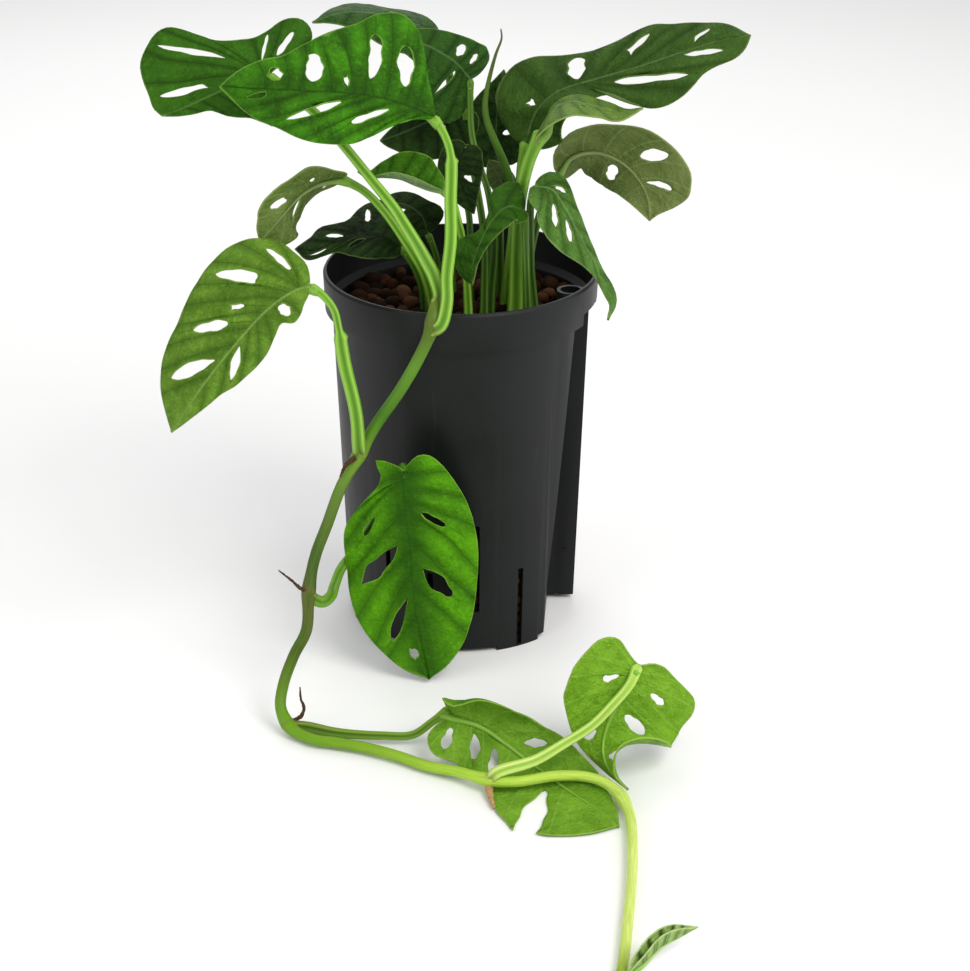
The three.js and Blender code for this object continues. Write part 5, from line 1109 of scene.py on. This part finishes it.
def leaf_materials(name, length):
    light, deep, dark, under_light, under_deep = GREENS[name]
    under_vein = mixed(under_light, LOWER_PALE, 0.16)
    edge = mixed(light, MARGIN_PALE, 0.35)
    # the upper face's veins and net take the darkest green: painted shade in the sunk veins
    upper = {
        # the pale specks are painted glints of sheen, on both faces
        "light": light, "deep": deep, "dark": dark, "glint": brighter(light, 1.22), "vein": dark,
        "rib": dark if name in DARK_RIBS else mixed(light, UPPER_PALE, 0.22), "edge": edge,
    }
    lower = {
        # on leaves with strong painted crease shade, the lower face's creases take the darkest green too
        "light": under_light, "deep": under_deep, "dark": dark if name in CREASE_SHADES else under_deep,
        "glint": brighter(under_light, 1.1), "vein": under_vein, "rib": under_vein, "edge": edge,
    }
    stops = [(0.0, dark if name == DARK_JOINT else STALK_END), (0.3, under_vein), (1.0, under_light)]
    return [
        leaf_material(name + "_upper", upper, length, roughness=0.42, net=0.08,
                      crease_shade=CREASE_SHADES.get(name, 0.5), valley_shade=VALLEY_SHADES.get(name, 0.15)),
        leaf_material(name + "_lower", lower, length, roughness=0.55, net=0.15,
                      crease_shade=CREASE_SHADES.get(name, 0.2), valley_shade=0.0),
        stalk_material(name + "_midrib", stops, under_deep, under_vein, under_deep),
    ]


# ---------------------------------------------------------------- stems
VINE_RADIUS, VINE_TIP_RADIUS = 3.1, 2.35
VINE_SWELL, VINE_NODE_WIDTH = 0.28, 6
VINE_RING, VINE_RING_WIDTH = 0.06, 0.8  # a thin ring round each node
VINE_SCAR_WIDTH, FOOT_SCAR_WIDTH = 0.7, 1.6
STEM_SIDES, VINE_RINGS, PETIOLE_RING = 28, 420, 1.6  # sides, rings along the vine, millimetres per ring
VINE_POINTS, VINE_SPOTS = 4000, 2000  # steps that measure the vine, and places to look for its nodes
VINE_ROUTE = [
    [0, -34, 150], [-4, -44, 172], [-8, -56, 190], [-10, -66, 197.5], [-11, -70, 197.5], [-12.5, -76, 193],
    [-14, -77.5, 186], [-20, -77, 172], [-28.5, -76, 156], [-42, -75, 135], [-50, -75, 120], [-59, -80, 105],
    [-66, -88, 88], [-72, -97, 74], [-75, -106, 60], [-76, -116, 43], [-82, -124, 33], [-87, -132, 21],
    [-88, -139, 12], [-83, -146, 5], [-71, -156, 4], [-60, -159, 4], [-45, -164, 4], [-29, -172, 4],
    [-15, -181, 4], [0, -189, 5.6], [14, -198, 6.8], [27, -200, 7], [45, -195, 7], [59, -195, 6.8],
    [68, -199, 6.2], [75.5, -209, 5], [78.5, -219, 4],
    [79.5, -230, 4], [78.5, -261, 4], [76.5, -286, 4], [73.5, -313, 4], [71.5, -331, 4], [69.5, -346, 4],
]
VINE_NODES = [[-13, -77, 190], [-50, -75, 120], [-75, -106, 60], [-84, -145, 6], [14, -198, 6], [75, -211, 4]]
PETIOLE_STOPS = [(0.0, (104, 140, 52)), (0.15, (112, 160, 48)), (0.5, (120, 176, 48)), (1.0, STALK_END)]
DARK_STOPS = [(0.0, (60, 92, 30)), (0.5, (70, 110, 32)), (1.0, (92, 134, 44))]
OWN_STALKS = {  # the colours along the petiole, then those of its channel and ridges
    "leaf_trailing_first": ([(0.0, (98, 117, 34)), (0.4, (104, 140, 34)), (1.0, (116, 160, 40))],
                            (72, 108, 24), (128, 160, 60)),
    "leaf_trailing_second": ([(0.0, (196, 222, 112)), (0.5, (180, 214, 96)), (1.0, (168, 206, 84))],
                             (132, 176, 56), (210, 230, 140)),
    "leaf_hanging_front": ([(0.0, (112, 156, 48)), (0.8, (100, 150, 40)), (0.9, (50, 96, 14)),
                            (1.0, (44, 90, 10))], (70, 118, 22), (104, 150, 44)),
}
DARK_STALKS = ("leaf_crown", "leaf_top", "leaf_over", "leaf_right_low", "leaf_left_rim")
VINE_STOPS = [
    (0.0, (84, 112, 44)), (0.075, (140, 170, 72)), (0.12, (78, 96, 26)), (0.16, (92, 136, 38)),
    (0.21, (62, 112, 16)), (0.25, (110, 152, 44)), (0.28, (94, 124, 44)), (0.34, (58, 84, 20)),
    (0.42, (66, 86, 16)), (0.48, (100, 150, 16)), (0.54, (116, 158, 26)), (0.64, (165, 204, 60)),
    (0.72, (190, 220, 86)), (0.88, (210, 228, 124)), (0.97, (202, 220, 110)), (1.0, (150, 176, 56)),
]
BROWN_STRETCH = (0.38, 0.07)  # middle and spread of the vine's brown streaks, as shares of its length
PALE_FROM = 0.58  # from here on the vine's rings are pale
STREAK_RING, STREAK_PITCH = 0.0025, 0.05  # streaks: metres round the stem, and how far drawn out


def streak_place(u, angle, length, apart):
    """A place for streaks, round the stem and along it. Stems with other numbers look different."""
    x, y = np.cos(angle) * STREAK_RING + apart, np.sin(angle) * STREAK_RING
    return np.stack([x, y, u * length * MM * STREAK_PITCH], axis=-1)


def angle_gap(angle, centre):
    return np.abs((angle - centre + np.pi) % TURN - np.pi)


def add_vine(material):
    """The vine, and a list of places along its middle."""
    route = Route(VINE_ROUTE, VINE_POINTS)
    spots = route.at(np.linspace(0, 1, VINE_SPOTS + 1))
    nearest = [np.argmin(np.linalg.norm(spots - node, axis=1)) for node in VINE_NODES]
    nodes = [spot / VINE_SPOTS * route.length for spot in nearest]

    def near_nodes(u, width):
        return sum(bell(u * route.length - node, width) for node in nodes)

    def radius_at(u, angle):
        swell = VINE_SWELL * near_nodes(u, VINE_NODE_WIDTH) + VINE_RING * near_nodes(u, VINE_RING_WIDTH)
        ribs = 0.012 * np.sin(9 * angle + 6 * u) + 0.01 * np.sin(5 * angle)
        return lerp(VINE_RADIUS, VINE_TIP_RADIUS, u) * (1 + swell + ribs)

    points, faces, u, angle = swept(route, radius_at, STEM_SIDES, VINE_RINGS)
    scar = near_nodes(u, VINE_SCAR_WIDTH) * np.where(u < PALE_FROM, 0.55, 0.12)
    centre, spread = BROWN_STRETCH
    streaks = np.sin(3 * angle + 25 * u) * np.sin(2 * angle - 60 * u + 1) > 0.2
    scar = scar + 0.3 * streaks * bell(u - centre, spread)
    attributes = {"flat": streak_place(u, angle, route.length, 0), "along": u, "scar": np.clip(scar, 0, 1)}
    new_piece("vine_stem", points, faces, [material], "vine", "vine", attributes)
    return spots


SHEATH_ENDS = {"leaf_hanging_left": 0.66, "leaf_left_high": 0.78}  # shares of the petiole's length
SHEATH_TIP = 4  # the sheath's free end, in millimetres
TOOTH = {"angle": 1.2, "spread": 0.5, "past": 0.3, "length": 0.35, "height": 0.5}  # at the sheath's end
VINE_REACH = 10  # a petiole that starts within this distance grows from the vine
FOOT_FADE = 0.35  # the share of the length over which a petiole narrows from its foot
JOINT_WIDTH, JOINT_SWELL = 6, 0.25  # the swollen joint below a blade
END_ROUND = 1.5  # the last millimetres, where a petiole rounds off
CHANNEL = {"width": 0.42, "depth": 0.38}  # widths and places are angles, depth and height shares
RIDGES = {"width": 0.2, "height": 0.1, "places": (0.72, -0.72)}
FADE_FROM, FADE = 0.75, 0.65  # channel and ridges get fainter towards the blade


def channel_and_ridges(u, angle):
    """The channel along a petiole's upper side and the two pale ridges beside it."""
    fade = 1 - FADE * np.clip((u - FADE_FROM) / (1 - FADE_FROM), 0, 1)
    channel = bell(angle_gap(angle, 0), CHANNEL["width"])
    ridges = sum(bell(angle_gap(angle, place), RIDGES["width"]) for place in RIDGES["places"])
    return channel * fade, ridges * fade


def add_petiole(leaf, material, count, vine_spots):
    places = list(leaf["petiole"])
    on_vine = np.linalg.norm(vine_spots - places[0], axis=1).min() < VINE_REACH
    if on_vine:
        ahead = places[0] + VINE_REACH / 2 * unit(np.subtract(places[0], places[1]))
        places.insert(0, vine_spots[np.linalg.norm(vine_spots - ahead, axis=1).argmin()].tolist())
    route = Route(places)
    foot, neck = leaf["foot"], leaf["neck"]
    sheath_end = SHEATH_ENDS.get(leaf["name"])

    def radius_at(u, angle):
        joint = bell((1 - u) * route.length, JOINT_WIDTH)
        radius = neck + (foot - neck) * bell(u, FOOT_FADE) + JOINT_SWELL * neck * joint
        if sheath_end:
            past = np.clip((u - sheath_end) * route.length / SHEATH_TIP, 0, 1)
            tooth = bell(angle_gap(angle, TOOTH["angle"]), TOOTH["spread"])
            tooth = tooth * bell(past - TOOTH["past"], TOOTH["length"])
            sheathed = np.maximum(radius, 0.92 * foot)
            radius = lerp(sheathed, 0.8 * radius, past) + TOOTH["height"] * neck * tooth * (past > 0)
        channel, ridges = channel_and_ridges(u, angle)
        rounding = np.sqrt(np.clip((1.004 - u) * route.length / END_ROUND, 0.05, 1))
        return radius * (1 - CHANNEL["depth"] * channel + RIDGES["height"] * ridges) * rounding

    points, faces, u, angle = swept(route, radius_at, STEM_SIDES, int(route.length / PETIOLE_RING))
    channel, ridges = channel_and_ridges(u, angle)
    attributes = {
        "flat": streak_place(u, angle, route.length, count), "along": u,
        "groove": channel * 0.8, "ridge": ridges * 0.75,
        "scar": 0.5 * on_vine * bell(u * route.length - VINE_RADIUS, FOOT_SCAR_WIDTH),
    }
    name = leaf["name"] + "_petiole"
    new_piece(name + "_grooved", points, faces, [material], "petiole", name, attributes)


SPEAR = [
    [27, 9, 146], [27, 8, 175], [27, 6, 203], [26, 2, 232], [22, 0, 247], [17, -1, 259.4],
    [13.2, -2, 270], [12.4, -3, 279], [14.4, -4, 291], [17.8, -4, 304], [20.6, -4, 312], [20.2, -4, 316.6],
]
SPEAR_FOOT, SPEAR_TIP, SPEAR_TURNS = 2.9, 0.35, 2.2
SPEAR_STOPS = [(0, (104, 140, 52)), (0.6, (78, 122, 34)), (0.85, (86, 108, 44)), (1, (96, 84, 66))]
SPEAR_APART = 40  # its streaks differ from those of the petioles, which count from 0


def add_spear(material):
    """The new leaf, still rolled: its free edge winds round it as a step."""
    route = Route(SPEAR)

    def rolled(u, angle):
        return (angle / TURN + SPEAR_TURNS * u) % 1

    def radius_at(u, angle):
        return (SPEAR_FOOT * (1 - u * u) + SPEAR_TIP) * (0.88 + 0.16 * rolled(u, angle))

    points, faces, u, angle = swept(route, radius_at, 32, 160)
    seam = np.minimum(rolled(u, angle), 1 - rolled(u, angle))
    flat = streak_place(u, angle, route.length, SPEAR_APART)
    attributes = {"flat": flat, "along": u, "groove": bell(seam, 0.04) * 0.7}
    new_piece("spear_rolled_leaf", points, faces, [material], "leaf_young", "spear_leaf", attributes)


ROOTS = {  # radius and places
    "root_upper": (1.5, [[-52, -79, 120], [-56.5, -81.5, 117], [-59.5, -82.5, 111]]),
    "root_middle": (1.1, [[-74, -107, 60], [-78, -109, 62], [-83, -110, 67.5], [-89, -112, 74]]),
    "root_lower": (1.2, [[-83, -144, 7], [-78, -141, 8.5], [-76.6, -139.5, 12.5], [-78, -139, 17],
                         [-78.3, -138, 23]]),
    "root_floor": (2, [[14, -199, 4], [15, -206, 3], [16.6, -215, 2]]),
}


def add_root(name, radius, places, material):
    knots = random.Random(name)
    phases = [knots.uniform(0, TURN) for _ in range(3)]

    def radius_at(u, angle):
        gnarl = 0.1 * np.sin(23 * u + 2 * angle + phases[0]) + 0.08 * np.sin(41 * u - 3 * angle + phases[1])
        return radius * (1 - 0.7 * u) * (1 + gnarl + 0.06 * np.sin(67 * u + phases[2]))

    points, faces, _, _ = swept(Route(places), radius_at, 14, 60)
    new_piece(name + "_bark", points, faces, [material], "root", name, {})


# ---------------------------------------------------------------- pot and granules
POT = {"height": 192, "rim_band": 20, "body_top": 66.3, "base": 60.3, "wall": 1.8, "floor_top": 5}
POT_FACET, POT_CUTS = math.radians(7.5), 3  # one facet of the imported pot, and how many it becomes
POT_FLAT, POT_BEVEL_OVER, POT_SHARP_OVER = (math.radians(angle) for angle in (0.6, 40, 30))
POT_BEVEL = 0.0004
SLITS = {"count": 16, "first": 7.5, "low": (1, 46), "high": (24, 74), "recess": (40, 96)}
RECESS = {"x": 50, "front": -34, "back": 4}
BED_TOP, BED_RADIUS = 170, 62.5
LAYERS = [(190, BED_TOP - 2.5), (150, BED_TOP + 0.8)]  # granules and height of each layer
BED_SIZES, SLIT_SIZES = (3.3, 4.9), (2.9, 3.9)  # the granules' radius, from and to
BED_EDGE, BED_HEIGHTS = 64, (-1.2, 1.6)
SLIT_ANGLES, SLIT_CLEAR, SLIT_PITCH = (-1.5, 1.5), 0.2, 1.7
CORE_SUNK, CORE_SHARE = 4.5, 0.985  # the core of the bed stays below and inside the granules
GOLDEN = TURN * 0.381966
LUMPS, LUMP_WAVES, LUMP_HEIGHT = 4, (-1.6, 1.6), 0.045
STRETCHES = ((0.85, 1.1), (0.85, 1.1), (0.75, 0.95))  # in x, y and z


def wall_radius(z):
    return lerp(POT["base"], POT["body_top"], z / (POT["height"] - POT["rim_band"]))


def rounded(work):
    """Cuts the flat facets round the pot's axis up and draws them out to the circle."""
    for k in range(1, round(math.pi / POT_FACET) * POT_CUTS):
        if k % POT_CUTS:
            angle = k * POT_FACET / POT_CUTS
            across = (-math.sin(angle), math.cos(angle), 0)
            every = work.verts[:] + work.edges[:] + work.faces[:]
            bmesh.ops.bisect_plane(work, geom=every, dist=1e-6, plane_co=(0, 0, 0), plane_no=across)
    for vert in work.verts:
        offset = math.atan2(vert.co.y, vert.co.x) % POT_FACET - POT_FACET / 2
        vert.co.xy = vert.co.xy * (math.cos(offset) / math.cos(POT_FACET / 2))


def add_pot(material):
    """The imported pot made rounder, with its edges eased, as a moulded pot's are."""
    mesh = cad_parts["pot"].data.copy()
    work = bmesh.new()
    work.from_mesh(mesh)
    bmesh.ops.remove_doubles(work, verts=work.verts, dist=WELD)
    bmesh.ops.dissolve_limit(work, angle_limit=POT_FLAT, verts=work.verts, edges=work.edges)
    rounded(work)
    work.to_mesh(mesh)
    work.free()
    mesh.materials.clear()
    mesh.materials.append(material)
    mesh.polygons.foreach_set("use_smooth", [True] * len(mesh.polygons))
    mesh.set_sharp_from_angle(angle=POT_SHARP_OVER)
    piece = added("pot_moulded", mesh)
    bevel = piece.modifiers.new("eased_edges", "BEVEL")
    bevel.width = POT_BEVEL
    bevel.segments = 2
    bevel.limit_method = "ANGLE"
    bevel.angle_limit = POT_BEVEL_OVER
    join_frame(piece, "pot", "pot")


def bed_places(draw):
    """Granules over the bed's surface, in two layers, but not where the stems stand."""
    for layer, (count, height) in enumerate(LAYERS):
        for k in range(count):
            angle = k * GOLDEN + layer
            size = draw.uniform(*BED_SIZES)
            radius = min(BED_RADIUS * math.sqrt((k + 0.5) / count), BED_EDGE - size)
            x, y = radius * math.cos(angle), radius * math.sin(angle)
            in_recess = x > RECESS["x"] - size - 4 and RECESS["front"] - size < y < RECESS["back"] + size
            if not in_recess:
                yield x, y, height + draw.uniform(*BED_HEIGHTS), size


def slit_places(draw):
    """A column of granules behind each slit."""
    for k in range(SLITS["count"]):
        slit = SLITS["first"] + k * 360 / SLITS["count"]
        if SLITS["recess"][0] < slit < SLITS["recess"][1]:
            continue
        low, high = SLITS["low"] if k % 2 else SLITS["high"]
        z = max(low, POT["floor_top"] + 3.5)
        while z < high + 3:
            size = draw.uniform(*SLIT_SIZES)
            radius = wall_radius(z) - POT["wall"] - size - SLIT_CLEAR
            angle = math.radians(slit + draw.uniform(*SLIT_ANGLES))
            yield radius * math.sin(angle), -radius * math.cos(angle), z, size
            z += size * SLIT_PITCH


def bed_core():
    """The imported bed, drawn in a little so that only granules show."""
    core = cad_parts["granule_bed"].data
    points = np.array([vert.co for vert in core.vertices]) / MM
    low, high = points[:, 2].min(), points[:, 2].max()
    points[:, 2] -= CORE_SUNK * (points[:, 2] - low) / (high - low)
    points[:, :2] *= CORE_SHARE
    return points, [tuple(face.vertices) for face in core.polygons]


def add_granules(material):
    ball = bmesh.new()
    bmesh.ops.create_icosphere(ball, subdivisions=3, radius=1)
    ball.verts.index_update()
    shape = np.array([vert.co for vert in ball.verts])
    ball_faces = [tuple(vert.index for vert in face.verts) for face in ball.faces]
    ball.free()
    core, faces = bed_core()
    points, shades = [core], [np.zeros(len(core))]
    place_draw = random.Random(5)
    places = [*bed_places(place_draw), *slit_places(place_draw)]
    draw = random.Random(9)
    for count, (x, y, z, size) in enumerate(places):
        waves = np.array([[draw.uniform(*LUMP_WAVES) for _ in range(3)] for _ in range(LUMPS)])
        phases = [draw.uniform(0, TURN) for _ in range(LUMPS)]
        lumps = sum(np.sin(shape @ wave * 1.6 + phase) for wave, phase in zip(waves, phases))
        stretch = np.array([draw.uniform(*span) for span in STRETCHES])
        points.append(shape * (1 + LUMP_HEIGHT * lumps)[:, None] * stretch * size + [x, y, z])
        start = len(core) + count * len(shape)
        faces.extend(tuple(k + start for k in face) for face in ball_faces)
        shades.append(np.full(len(shape), draw.random()))
    attributes = {"shade": np.concatenate(shades)}
    points = np.vstack(points)
    new_piece("clay_granules", points, faces, [material], "clay_granules", "granule_bed", attributes)


# ---------------------------------------------------------------- the whole plant
SCAR, RIDGE = (112, 88, 56), (164, 208, 92)
STALKS = {  # the colours along the stalk, then those of its channel, ridges and scars
    "petiole_green": (PETIOLE_STOPS, (72, 120, 18), RIDGE, SCAR),
    "petiole_dark": (DARK_STOPS, (44, 74, 20), (108, 144, 64), SCAR),
    "vine_green": (VINE_STOPS, (92, 132, 44), (182, 216, 118), (116, 92, 58)),
    "spear_green": (SPEAR_STOPS, (44, 82, 20), RIDGE, SCAR),
}


def add_plant():
    stalks = {name: stalk_material(name, *settings) for name, settings in STALKS.items()}
    own = {name: stalk_material(name + "_stalk", *settings, SCAR) for name, settings in OWN_STALKS.items()}
    bark = root_material("root_bark", (38, 24, 16), (78, 54, 36), (128, 98, 66))
    pale_bark = root_material("root_pale", (140, 108, 66), (186, 152, 100), (220, 194, 146))
    vine_spots = add_vine(stalks["vine_green"])
    for count, leaf in enumerate(LEAVES):
        add_blade(leaf, count)
        if "petiole" in leaf:
            shared = stalks["petiole_dark" if leaf["name"].startswith(DARK_STALKS) else "petiole_green"]
            add_petiole(leaf, own.get(leaf["name"], shared), count, vine_spots)
    add_spear(stalks["spear_green"])
    for name, (radius, places) in ROOTS.items():
        add_root(name, radius, places, pale_bark if name == "root_floor" else bark)
    add_pot(pot_material())
    add_granules(clay_material())


add_camera()
add_studio()
add_floor()
add_plant()

boxes = {"cad": cad_box, "visual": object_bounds()}
{key: [list(corner) for corner in box] for key, box in boxes.items()}
